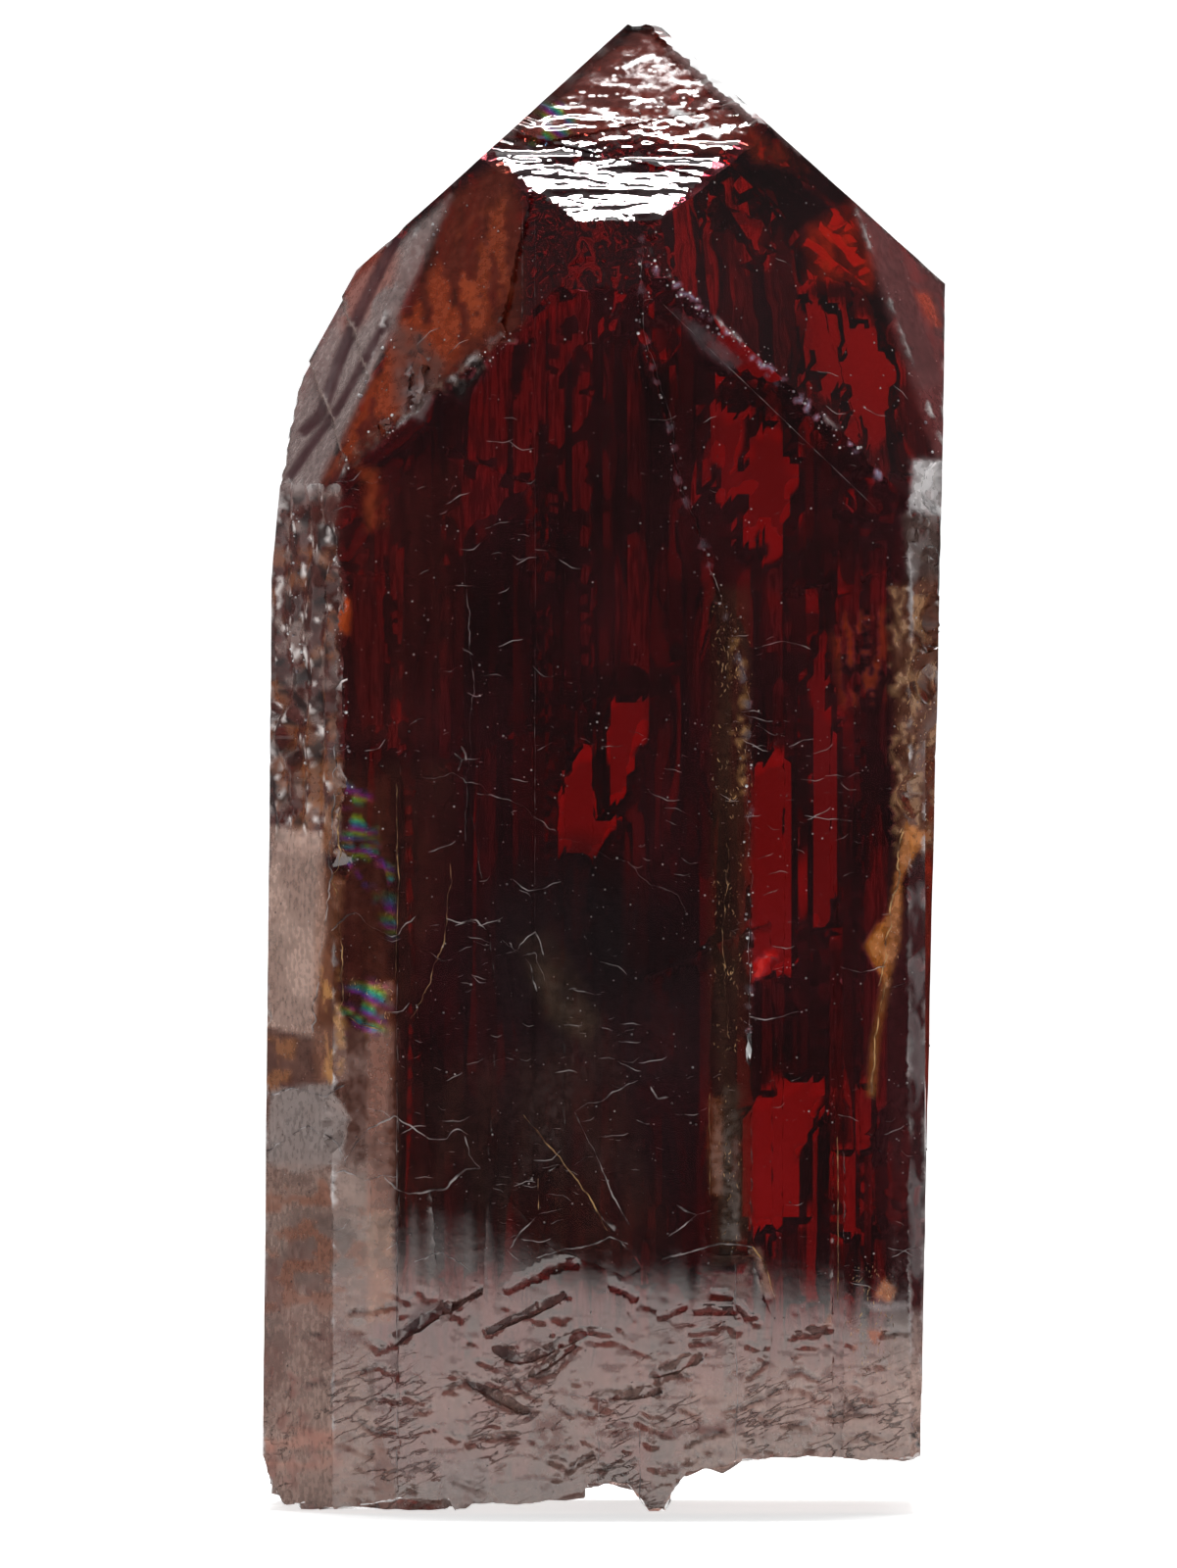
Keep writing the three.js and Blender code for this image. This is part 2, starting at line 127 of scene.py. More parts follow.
class Grain:
    """Smooth random values in space that are the same on every run."""

    SIZE = 48

    def __init__(self, seed: int) -> None:
        """Fills the lattice.

        Args:
            seed: The seed of the random values.
        """
        self.table = np.random.default_rng(seed).random((self.SIZE,) * 3)

    def at(self, points: Array, size: Size) -> Array:
        """Reads the smooth values.

        Args:
            points: Places in space, one row each.
            size: The width of a lump along each axis, or one width for all.

        Returns:
            A value between 0 and 1 for each point.
        """
        place = points / np.broadcast_to(np.asarray(size, float), (3,))
        low = np.floor(place).astype(int)
        part = place - low
        part = part * part * (3 - 2 * part)
        total = np.zeros(len(points))
        for corner in range(8):
            step = np.array([corner & 1, corner >> 1 & 1, corner >> 2 & 1])
            weight = np.where(step, part, 1 - part).prod(1)
            cell = (low + step) % self.SIZE
            total += weight * self.table[cell[:, 0], cell[:, 1], cell[:, 2]]
        return total

    def layered(self, points: Array, size: Size, layers: int = 3) -> Array:
        """Adds finer and fainter layers of the smooth values.

        Args:
            points: Places in space, one row each.
            size: The width of the coarsest lumps.
            layers: How many layers there are, each half the size and strength of the last.

        Returns:
            A value around 0, mostly between -1 and 1, for each point.
        """
        total = np.zeros(len(points))
        for layer in range(layers):
            shrunk = np.asarray(size, float) / 2**layer
            total += (self.at(points + 7.3 * layer, shrunk) * 2 - 1) / 2**layer
        return total


def ease(value: Array, low: float, high: float) -> Array:
    """A soft step.

    Args:
        value: The values to step.
        low: Where the step starts, at 0.
        high: Where the step ends, at 1.

    Returns:
        0 to 1, eased at both ends.
    """
    share = np.clip((value - low) / (high - low), 0, 1)
    return share * share * (3 - 2 * share)


def inside(points: Array, starts: Array, ends: Array) -> Array:
    """Tells which points lie inside a flat outline, holes counted out.

    Args:
        points: Flat points, one row each.
        starts: The starts of the outline's edges.
        ends: The ends of the outline's edges.

    Returns:
        True for each point inside.
    """
    x, y = points[:, 0], points[:, 1]
    within = np.zeros(len(points), bool)
    for (ax, ay), (bx, by) in zip(starts, ends):
        if ay == by:
            continue
        crosses = (ay > y) != (by > y)
        within ^= crosses & (x < ax + (y - ay) / (by - ay) * (bx - ax))
    return within


def patch(points: Array, outline: Outline, soft: float) -> Array:
    """How far points lie within a drawn outline, with a soft edge.

    Args:
        points: Flat points, one row each.
        outline: The corners of the outline.
        soft: The width of the soft edge.

    Returns:
        1 well inside, 0 well outside.
    """
    corners = np.array(outline, float)
    following = np.roll(corners, -1, 0)
    near = np.full(len(points), np.inf)
    for start, end in zip(corners, following):
        run = end - start
        share = np.clip((points - start) @ run / (run @ run), 0, 1)
        near = np.minimum(near, np.linalg.norm(points - start - share[:, None] * run, axis=1))
    signed = np.where(inside(points, corners, following), near, -near)
    return ease(signed, -soft / 2, soft / 2)


def covered(points: Array, outlines: list[Outline], soft: float) -> Array:
    """How far points lie within any of several drawn outlines.

    Args:
        points: Flat points, one row each.
        outlines: The outlines.
        soft: The width of their soft edges.

    Returns:
        1 well inside one, 0 well outside all.
    """
    total = np.zeros(len(points))
    for outline in outlines:
        total = np.maximum(total, patch(points, outline, soft))
    return total


def lengths(rows: Array) -> Array:
    """Returns the length of each row, safe to divide by."""
    return np.maximum(np.linalg.norm(rows, axis=1), 1e-9)


@dataclass
class FlatFace:
    """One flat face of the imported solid.

    Attributes:
        normal: The outward unit normal.
        origin: A corner of the face.
        rim: The face's edges, as pairs of corner numbers.
        side: Which way the face looks.
        area: The face's area.
    """

    normal: Array
    origin: Array
    rim: list[tuple[int, int]]
    side: Side
    area: float

    def axes(self) -> tuple[Array, Array]:
        """Returns two unit vectors that lie in the face."""
        across = np.cross([0.0, 0.0, 1.0], self.normal)
        if np.linalg.norm(across) < 0.1:
            across = np.cross([1.0, 0.0, 0.0], self.normal)
        across /= np.linalg.norm(across)
        return across, np.cross(self.normal, across)


@dataclass
class PackedSolid:
    """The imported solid, read as corners and flat faces.

    Attributes:
        weld: Corners closer than this are one.
        flatness: How far a triangle's corners may stray from their face.
        level: The least cosine of the angle between a triangle and its face.
    """

    weld: float = 1e-4
    flatness: float = 0.002
    level: float = 0.98

    def read(self, source: Object) -> tuple[Array, list[FlatFace]]:
        """Reads the solid.

        Args:
            source: The CAD node.

        Returns:
            The corners, and the flat faces between them.
        """
        mesh = source.data
        mesh.calc_loop_triangles()
        places = np.zeros(len(mesh.vertices) * 3)
        mesh.vertices.foreach_get("co", places)
        corners = np.zeros(len(mesh.loop_triangles) * 3, int)
        mesh.loop_triangles.foreach_get("vertices", corners)
        places = places.reshape(-1, 3) / MM
        _, first, same = np.unique(
            np.round(places / self.weld).astype(np.int64), axis=0, return_index=True, return_inverse=True
        )
        triangles = same.reshape(-1)[corners].reshape(-1, 3)
        points = places[first]
        a, b, c = (points[triangles[:, k]] for k in range(3))
        cross = np.cross(b - a, c - a)
        size = np.linalg.norm(cross, axis=1)
        keep = size > 1e-9
        triangles, cross, size = triangles[keep], cross[keep], size[keep]
        return points, self.gather(points, triangles, cross / size[:, None], size / 2)

    def gather(self, points: Array, triangles: Array, normals: Array, areas: Array) -> list[FlatFace]:
        """Gathers triangles that lie in one plane and touch.

        Args:
            points: The corners.
            triangles: Three corner numbers a row.
            normals: The triangles' unit normals.
            areas: The triangles' areas.

        Returns:
            The flat faces.
        """
        beside: dict[tuple[int, int], list[int]] = {}
        for number, row in enumerate(triangles):
            for k in range(3):
                beside.setdefault(either_way(edge_of(row, k)), []).append(number)
        owner = np.full(len(triangles), -1)
        faces = []
        for seed in np.argsort(-areas):
            if owner[seed] >= 0:
                continue
            normal, origin = normals[seed], points[triangles[seed, 0]]
            owner[seed] = len(faces)
            members, waiting = [seed], [seed]
            while waiting:
                row = triangles[waiting.pop()]
                for k in range(3):
                    for other in beside[either_way(edge_of(row, k))]:
                        if owner[other] >= 0 or normals[other] @ normal < self.level:
                            continue
                        if np.abs((points[triangles[other]] - origin) @ normal).max() > self.flatness:
                            continue
                        owner[other] = len(faces)
                        members.append(other)
                        waiting.append(other)
            faces.append((normal, origin, members))
        made = []
        for number, (normal, origin, members) in enumerate(faces):
            rim = []
            for member in members:
                row = triangles[member]
                for k in range(3):
                    edge = edge_of(row, k)
                    if any(owner[other] != number for other in beside[either_way(edge)]):
                        rim.append(edge)
            made.append(FlatFace(normal, origin, rim, side_of(normal), float(areas[members].sum())))
        return made


# how far apart the skin's points stand on each kind of face
SPACING = {
    Side.FRONT: 0.132,
    Side.BACK: 0.2,
    Side.BEVEL: 0.14,
    Side.FLANK: 0.45,
    Side.POINT_FRONT: 0.15,
    Side.POINT_BACK: 0.22,
    Side.BASE: 0.32,
}


def edge_of(row: Array, k: int) -> tuple[int, int]:
    """Returns the edge after a triangle's corner k, as two corner numbers in the triangle's order."""
    return int(row[k]), int(row[(k + 1) % 3])


def either_way(edge: tuple[int, int]) -> tuple[int, int]:
    """Returns an edge with its lower corner number first."""
    return min(edge), max(edge)


@dataclass
class SkinMesh:
    """The solid's surface cut into small, even triangles that keep every edge of the solid.

    Attributes:
        columns: Where upright columns of points stand on the back face, as X.
        etched: Spacing of the points on the etched low part of the front face.
        etched_below: The height below which that part lies.
        summit: Spacing on the summit's front face.
        seed: Seed of the small random shifts of the points.
        shake: The greatest of these shifts, as a share of the spacing.
        clear: How far inner points keep from the rim, as a share of the spacing.
    """

    columns: Array
    etched: float = 0.09
    etched_below: float = 6.3
    summit: float = 0.085
    seed: int = 11
    shake: float = 0.12
    clear: float = 0.55

    def spacing(self, face: FlatFace) -> float:
        """Returns the spacing of the points on a face."""
        return self.summit if is_summit(face.normal) else SPACING[face.side]

    def cut(self, corners: Array, faces: list[FlatFace]) -> tuple[Array, Array, Array, Array]:
        """Cuts all faces into small triangles.

        Args:
            corners: The solid's corners.
            faces: The solid's flat faces.

        Returns:
            The points, the triangles, and two matching lists: a point and a face that it lies on.
        """
        self.points = [row for row in corners]
        split = self.split_rims(corners, faces)
        triangles, point_of, face_of = [], [], []
        random = np.random.default_rng(self.seed)
        for number, face in enumerate(faces):
            made, used = self.fill(face, split, random)
            triangles.extend(made)
            point_of.extend(used)
            face_of.extend([number] * len(used))
        return np.array(self.points), np.array(triangles), np.array(point_of), np.array(face_of)

    def split_rims(self, corners: Array, faces: list[FlatFace]) -> dict[tuple[int, int], list[int]]:
        """Splits each edge of the solid evenly, once for both of its faces.

        Args:
            corners: The solid's corners.
            faces: The solid's flat faces.

        Returns:
            For each edge, the numbers of its points from its lower corner number to its higher one.
        """
        finest: dict[tuple[int, int], float] = {}
        for face in faces:
            for start, end in face.rim:
                edge = either_way((start, end))
                finest[edge] = min(finest.get(edge, 9.0), self.spacing(face))
        split = {}
        for (start, end), step in finest.items():
            length = float(np.linalg.norm(corners[end] - corners[start]))
            pieces = max(1, math.ceil(length / step - 0.3))
            chain = [start]
            for k in range(1, pieces):
                chain.append(len(self.points))
                self.points.append(corners[start] + (corners[end] - corners[start]) * (k / pieces))
            split[(start, end)] = chain + [end]
        return split

    def fill(
        self, face: FlatFace, split: dict[tuple[int, int], list[int]], random: np.random.Generator
    ) -> tuple[list[tuple[int, int, int]], list[int]]:
        """Fills one face with points and triangles.

        Args:
            face: The face.
            split: The split edges.
            random: The source of the small shifts.

        Returns:
            The triangles, and the numbers of all points on the face.
        """
        across, up = face.axes()
        edges = []
        for start, end in face.rim:
            chain = split[either_way((start, end))]
            edges.extend(zip(chain, chain[1:]) if start < end else zip(chain[::-1], chain[-2::-1]))
        used = sorted({number for edge in edges for number in edge})
        place = {number: k for k, number in enumerate(used)}
        rim = np.array([self.points[number] for number in used]) - face.origin
        rim = np.stack([rim @ across, rim @ up], 1)
        starts = rim[[place[a] for a, _ in edges]]
        ends = rim[[place[b] for _, b in edges]]
        step = self.spacing(face)
        inner = self.inner_points(rim, starts, ends, step, face, random)
        flat = np.concatenate([rim, inner])
        for row in inner:
            used.append(len(self.points))
            self.points.append(face.origin + across * row[0] + up * row[1])
        made = geometry.delaunay_2d_cdt(
            [Vector(row) for row in flat], [(place[a], place[b]) for a, b in edges], [], 0, 1e-7, True
        )
        source = [ids[0] if ids else -1 for ids in made[3]]
        cells = np.array([[source[k] for k in cell] for cell in made[2]]).reshape(-1, 3)
        cells = cells[(cells >= 0).all(1)]
        kept = self.within_rim(cells.tolist(), {(place[a], place[b]) for a, b in edges})
        return [tuple(used[k] for k in cell) for cell in kept], used

    @staticmethod
    def within_rim(cells: list[list[int]], rim: set[tuple[int, int]]) -> list[list[int]]:
        """Picks the triangles inside a rim, spreading inwards from its edges.

        Args:
            cells: The triangles, each anticlockwise.
            rim: The rim's edges, each with the inside on its left.

        Returns:
            The triangles inside.
        """
        owner = {(cell[k], cell[(k + 1) % 3]): n for n, cell in enumerate(cells) for k in range(3)}
        waiting = [owner[edge] for edge in rim if edge in owner]
        taken = set(waiting)
        while waiting:
            cell = cells[waiting.pop()]
            for k in range(3):
                edge = (cell[k], cell[(k + 1) % 3])
                beyond = owner.get((edge[1], edge[0]))
                if edge not in rim and beyond is not None and beyond not in taken:
                    taken.add(beyond)
                    waiting.append(beyond)
        return [cells[number] for number in sorted(taken)]

    def lattice(self, low: Array, high: Array, step: float, random: np.random.Generator) -> Array:
        """Lays a slightly shaken triangular grid.

        Args:
            low: Its lower left corner.
            high: Its upper right corner.
            step: The spacing.
            random: The source of the small shifts.

        Returns:
            The points.
        """
        rows = np.arange(low[1], high[1], step * ROW)
        grid = np.stack(np.meshgrid(np.arange(low[0], high[0], step), rows), -1)
        grid[1::2, :, 0] += step / 2
        grid = grid.reshape(-1, 2)
        return grid + random.uniform(-self.shake, self.shake, grid.shape) * step

    def inner_points(
        self,
        rim: Array,
        starts: Array,
        ends: Array,
        step: float,
        face: FlatFace,
        random: np.random.Generator,
    ) -> Array:
        """Lays points on a triangular grid inside a face.

        Args:
            rim: The points on the face's rim.
            starts: The starts of the rim's edges.
            ends: The ends of the rim's edges.
            step: The spacing.
            face: The face.
            random: The source of the small shifts.

        Returns:
            The points, in the face's own plane.
        """
        low, high = rim.min(0), rim.max(0)
        if face.area < step * step * 1.5:
            return np.zeros((0, 2))
        if face.side is Side.BACK:
            columns = (face.origin[0] - self.columns) / abs(face.axes()[0][0])
            grid = np.stack(np.meshgrid(columns, np.arange(low[1], high[1], step)), -1).reshape(-1, 2)
        elif face.side is Side.FRONT:
            border = self.etched_below - face.origin[2]
            above = self.lattice(low, high, step, random)
            below = self.lattice(low, high, self.etched, random)
            grid = np.concatenate([above[above[:, 1] >= border], below[below[:, 1] < border]])
        else:
            grid = self.lattice(low, high, step, random)
        grid = grid[inside(grid, starts, ends)]
        tree = kdtree.KDTree(len(rim))
        for number, row in enumerate(rim):
            tree.insert((row[0], row[1], 0), number)
        tree.balance()
        away = [tree.find((x, y, 0))[2] > self.clear * step for x, y in grid]
        return grid[np.array(away, bool)] if len(grid) else grid


def seen(*pixels: tuple[float, float]) -> Outline:
    """Returns X and Z on the front face for places in the photograph."""
    return [((x - ORIGIN[0]) / SCALE, (ORIGIN[1] - y) / SCALE) for x, y in pixels]


def box(left: float, top: float, right: float, bottom: float) -> Outline:
    """Returns an upright box of the photograph as an outline in X and Z."""
    return seen((left, top), (right, top), (right, bottom), (left, bottom))


def strip(width: float, *pixels: tuple[float, float]) -> Outline:
    """Returns a band along a drawn line as an outline in X and Z.

    Args:
        width: The band's width in millimetres.
        pixels: The line's corners in the photograph.

    Returns:
        The outline.
    """
    line = np.array(seen(*pixels))
    runs = np.gradient(line, axis=0)
    aside = np.stack([-runs[:, 1], runs[:, 0]], 1)
    aside *= width / 2 / np.linalg.norm(aside, axis=1)[:, None]
    return [tuple(row) for row in np.concatenate([line + aside, (line - aside)[::-1]])]


def colour_of(code: int) -> Array:
    """Returns the linear red, green and blue of a colour code such as 0xC08040."""
    parts = np.array([code >> 16 & 255, code >> 8 & 255, code & 255]) / 255
    return np.where(parts < 0.04045, parts / 12.92, ((parts + 0.055) / 1.055) ** 2.4)


@dataclass(frozen=True)
class Pane:
    """A flat growth face that the viewer looks in through.

    Attributes:
        normal: The outward unit normal.
        through: A point of the face.
    """

    normal: tuple[float, float, float]
    through: tuple[float, float, float]

    def to_back(self, outline: Outline) -> Outline:
        """Follows the bent line of sight from places on the face to the back of the crystal.

        Args:
            outline: Places on the face, X and Z.

        Returns:
            The places on the back that show there, X and Z.
        """
        normal, through = np.array(self.normal), np.array(self.through)
        facing = -normal[1]
        bent = math.sqrt(1 - (1 - facing**2) / IOR**2)
        ray = np.array([0, 1 / IOR, 0]) + (facing / IOR - bent) * normal
        found = []
        for x, z in outline:
            y = through[1] - ((x - through[0]) * normal[0] + (z - through[2]) * normal[2]) / normal[1]
            run = (BACK - y) / ray[1]
            found.append((x + ray[0] * run, z + ray[2] * run))
        return found


FRONT_PANE = Pane((0.0, -1.0, 0.0), (0.0, FRONT, 0.0))
RIGHT_PANE = Pane((0.401, -0.802, 0.443), (1.35, FRONT, 33.3))
LEFT_PANE = Pane((-0.401, -0.802, 0.443), (-4.64, FRONT, 29.94))


@dataclass(frozen=True)
class Window:
    """A patch of the back through which light comes straight forward.

    Attributes:
        outline: Its corners as the viewer sees them, X and Z.
        clear: How clear it is, from 0 to 1.
        soft: The width of its soft edge.
        pane: The face that it is seen through.
        shade: How much of the light it lets through.
    """

    outline: Outline
    clear: float = 1.0
    soft: float = 0.2
    pane: Pane = FRONT_PANE
    shade: float = 0.8

    def share(self, p: Array) -> Array:
        """Returns how clear the back is at each point."""
        return self.clear * patch(p[:, [0, 2]], self.pane.to_back(self.outline), self.soft)


# where the light of the backdrop comes through
WINDOWS = [
    Window(seen((622, 716), (659, 718), (655, 767), (641, 818), (620, 831), (618, 757)), soft=0.1, shade=1.0),
    Window(
        seen((584, 778), (606, 759), (606, 835), (631, 843), (622, 863), (604, 884), (567, 873), (576, 798)),
        soft=0.1, shade=1.0,
    ),
    Window(seen((770, 790), (785, 773), (810, 780), (811, 997), (766, 997), (764, 900)), soft=0.1, shade=1.0),
    Window(
        seen((822, 700), (840, 640), (858, 760), (859, 930), (848, 964), (825, 950)),
        soft=0.15, shade=0.6,
    ),
    Window(
        seen(
            (831, 1099), (845, 1120), (825, 1181), (824, 1249), (770, 1266), (754, 1243), (752, 1181),
            (756, 1145), (779, 1124),
        ),
        soft=0.15, shade=0.95,
    ),
    Window(box(859, 1181, 875, 1270), soft=0.1, shade=0.5),
    Window(box(876, 1113, 893, 1181), soft=0.1, shade=0.5),
    Window(seen((717, 413), (735, 418), (738, 452), (726, 500), (712, 515)), soft=0.3, shade=0.5),
    Window(
        seen(
            (787, 432), (799, 454), (795, 469), (783, 481), (791, 501), (781, 505), (754, 511), (732, 524),
            (728, 505), (762, 475), (770, 444),
        ),
        soft=0.2, shade=0.7,
    ),
    Window(seen((864, 507), (877, 515), (870, 530), (862, 526)), soft=0.1, shade=0.6),
    Window(box(393, 560, 417, 780), 0.8, 0.2, shade=0.25),
    Window(seen((565, 520), (600, 480), (640, 560), (690, 690), (660, 715), (590, 700)), 0.6, 1.2, shade=0.1),
    Window(seen((560, 430), (600, 440), (625, 520), (570, 560)), 0.65, 0.8, shade=0.15),
    Window(box(345, 520, 392, 760), 0.55, 0.6, shade=0.1),
    Window(seen((770, 610), (905, 600), (900, 700), (770, 690)), 0.5, 1.0, shade=0.12),
    Window(box(898, 880, 960, 1330), 0.5, 0.5, shade=0.15),
    Window(seen((260, 1290), (960, 1340), (960, 1560), (260, 1560)), 0.6, 1.0, shade=0.15),
    Window(box(255, 500, 330, 1300), 0.5, 0.5, shade=0.2),
    Window(seen((664, 276), (676, 285), (675, 358), (664, 350)), 1.0, 0.2, shade=0.4),
    Window(seen((722, 196), (742, 190), (728, 232), (718, 232)), 1.0, 0.3, RIGHT_PANE, 0.7),
    Window(seen((755, 222), (786, 216), (784, 262), (772, 275)), 1.0, 0.4, RIGHT_PANE, 0.6),
    Window(
        seen(
            (822, 228), (838, 218), (868, 205), (880, 228), (893, 262), (892, 296), (870, 285), (850, 275),
            (826, 290),
        ),
        1.0, 0.3, RIGHT_PANE, 0.9,
    ),
    Window(
        seen((836, 310), (862, 316), (864, 345), (856, 403), (845, 400), (840, 360)),
        1.0, 0.3, RIGHT_PANE, 0.7,
    ),
    Window(
        seen(
            (891, 342), (921, 372), (919, 403), (905, 448), (893, 452), (885, 424), (875, 444), (862, 424),
            (871, 383), (879, 354),
        ),
        1.0, 0.3, RIGHT_PANE, 0.75,
    ),
    Window(seen((688, 230), (703, 232), (690, 270), (676, 270)), 0.8, 0.3, RIGHT_PANE, 0.4),
    Window(seen((762, 125), (800, 140), (815, 160), (770, 150)), 1.0, 0.4, RIGHT_PANE, 0.4),
    Window(seen((400, 250), (500, 190), (520, 300), (420, 400), (350, 460)), 0.7, 0.8, LEFT_PANE, 0.3),
]
# long growth steps on the outer left face of the point
GROWTH_LINES = [
    [(403, 241), (382, 282), (358, 333), (342, 373), (327, 420), (305, 445)],
    [(395, 324), (366, 373), (348, 404), (321, 445), (291, 490)],
]
# dark cuts low on the front
CUTS = [
    [(385, 1379), (407, 1370), (434, 1346), (462, 1331)],
    [(497, 1360), (525, 1346), (552, 1333), (580, 1321)],
    [(506, 1376), (527, 1389), (553, 1383), (567, 1372), (582, 1362), (602, 1358), (625, 1361)],
    [(541, 1404), (563, 1401), (576, 1389), (590, 1372)],
    [(520, 1404), (533, 1418), (541, 1424), (553, 1427)],
    [(452, 1420), (474, 1410), (495, 1420), (515, 1436), (540, 1442)],
    [(484, 1466), (505, 1467), (529, 1465)],
    [(369, 1400), (380, 1396), (387, 1393), (395, 1400)],
    [(365, 1449), (376, 1458), (385, 1463), (403, 1460)],
    [(356, 1340), (366, 1338), (382, 1337), (399, 1333)],
    [(518, 1316), (539, 1305), (561, 1292), (586, 1287)],
    [(625, 1312), (640, 1318), (648, 1324)],
    [(674, 1344), (686, 1338), (699, 1331)],
    [(712, 1336), (725, 1335), (749, 1338)],
    [(753, 1331), (765, 1344), (772, 1343)],
    [(706, 1360), (723, 1359), (741, 1351)],
    [(706, 1371), (725, 1368)],
    [(665, 1403), (680, 1395), (694, 1386), (716, 1385)],
    [(669, 1410), (684, 1402), (704, 1405)],
    [(622, 1428), (640, 1418), (655, 1415), (675, 1424)],
    [(727, 1320), (745, 1322)],
    [(764, 1405), (776, 1395), (785, 1386)],
    [(805, 1403), (818, 1398), (826, 1405), (838, 1409)],
    [(810, 1363), (830, 1360), (848, 1355)],
    [(900, 1362), (918, 1360)],
    [(843, 1440), (860, 1432), (875, 1437), (888, 1437)],
    [(845, 1445), (865, 1444), (888, 1443)],
    [(738, 1440), (765, 1433), (780, 1425), (796, 1417)],
    [(573, 1436), (584, 1445)],
    [(586, 1438), (606, 1446)],
    [(578, 1503), (592, 1491), (606, 1485)],
    [(700, 1475), (720, 1465), (745, 1460)],
    [(805, 1455), (825, 1452)],
    [(305, 1367), (316, 1364), (327, 1362)],
    [(309, 1417), (320, 1413), (331, 1410)],
    [(423, 1440), (433, 1441), (440, 1437)],
]
SLANT = ((0.93, 0.0, -0.36), (0.0, 1.0, 0.0), (0.36, 0.0, 0.93))  # turns the front's grooves out of the level
SUMMIT_DROP = 0.671  # how much lower each millimetre down the summit's front face lies


@dataclass
class Relief:
    """How far each point of the surface lies inside the solid's flat faces.

    Attributes:
        etched_top: The height up to which the front face is deeply etched.
        narrow: The narrowest side of a rib on the back.
        wide: The widest side of a rib.
        summit_tilt: How much flatter the lower part of the summit's front face lies, in degrees.
        summit_break: How far below the summit that part begins, along the face.
        summit_foot: How far below the summit the face ends.
        stair: The length of one growth step on the back of the point.
        swell: The depth of the wide swells of the front.
        groove: The depth of the ragged grooves low on it.
        dash: The depth of the short dashes between them.
        cut: The depth of the drawn dark cuts.
        scar: The depth of the shell-like scars on the left.
        terrace: The height of the summit's terraces.
        growth_step: The depth of the growth steps on the point's outer left face.
        chip: The roughness of the floors of chips.
        ribs: How many ribs the back has room for.
        ribs_from: X where the first rib begins.
    """

    etched_top: float = 5.4
    narrow: float = 0.28
    wide: float = 0.62
    summit_tilt: float = 3.6
    summit_break: float = 4.8
    summit_foot: float = 8.6
    stair: float = 1.1
    swell: float = 0.007
    groove: float = 0.02
    dash: float = 0.016
    cut: float = 0.035
    scar: float = 0.42
    terrace: float = 0.04
    growth_step: float = 0.1
    chip: float = 0.05
    ribs: int = 80
    ribs_from: float = -18

    def __post_init__(self) -> None:
        """Makes the sources of the pattern and the creases of the ribs."""
        self.coarse = Grain(3)
        self.fine = Grain(5)
        self.odd = Grain(8)
        random = np.random.default_rng(21)
        widths = random.uniform(self.narrow, self.wide, self.ribs)
        self.creases = np.cumsum(widths) + self.ribs_from
        depths = np.zeros(self.ribs)
        for k in range(1, self.ribs):
            depths[k] = depths[k - 1] + widths[k] if k % 2 else max(0.0, depths[k - 1] - widths[k])
        self.depths = depths

    def columns(self) -> Array:
        """Returns where the points of the back stand, on the creases and twice between them."""
        near = self.creases[(self.creases > -10) & (self.creases < 10)]
        gaps = np.diff(near)
        between = [near[:-1] + gaps * share for share in (1 / 3, 2 / 3)]
        return np.sort(np.concatenate([near, *between]))

    def clearness(self, p: Array) -> Array:
        """How far the ribs are flattened, which lets light through."""
        flat = p * [1, 0, 1]
        streaks = self.fine.at(flat, (0.4, 1, 7)) * 0.6 + self.odd.at(flat, (0.9, 1, 3)) * 0.4
        clear = 0.3 * ease(streaks, 0.45, 0.75)
        for window in WINDOWS:
            share = window.share(p)
            clear = np.maximum(clear, share * (1 if window.clear > 0.8 else 0.4 + 0.6 * streaks))
        return np.clip(clear, 0, 1)

    def shade(self, p: Array) -> Array:
        """How much of the light the back lets through where it is clear."""
        total, weight = np.full(len(p), 0.001), np.full(len(p), 0.05)
        for window in WINDOWS:
            share = patch(p[:, [0, 2]], window.pane.to_back(window.outline), window.soft + 0.5) ** 2
            total += share * window.shade
            weight += share
        return total / weight

    def front(self, p: Array) -> Array:
        """Etched terraces low down, and faint upright striations."""
        flat = p * [1, 0, 1]
        swell = self.swell * (1 + self.coarse.layered(flat, (6, 1, 4), 2))
        stria = 0.003 * self.fine.at(flat, (0.25, 1, 9)) + 0.004 * self.odd.at(flat, (0.8, 1, 14))
        turned = flat @ np.array(SLANT).T
        ragged = self.coarse.layered(turned, (2.4, 1, 1.1), 4)
        grooves = self.groove * ease(0.04 - np.abs(ragged), 0, 0.04) * ease(self.odd.at(flat, 1.6), 0.45, 0.7)
        dashes = self.dash * ease(self.fine.layered(turned, (0.5, 1, 0.2), 2), 0.55, 0.8)
        low = ease(self.etched_top + 0.9 * ragged - p[:, 2], -0.6, 2.2)
        left = ease(-7.3 - p[:, 0], 0, 0.8) * self.broken(p)
        return swell + stria + low * (grooves + dashes) + left + self.cuts(p)

    def cuts(self, p: Array) -> Array:
        """The drawn dark cuts low on the front, each of uneven depth."""
        total = np.zeros(len(p))
        near = p[:, 2] < CUTS_BELOW
        uneven = 0.45 + 0.9 * self.fine.at(p[near] * [1, 0, 1], (0.3, 1, 0.3))
        depth = covered(p[near][:, [0, 2]], [strip(0.05, *line) for line in CUTS], 0.1)
        total[near] = self.cut * depth * uneven
        return total

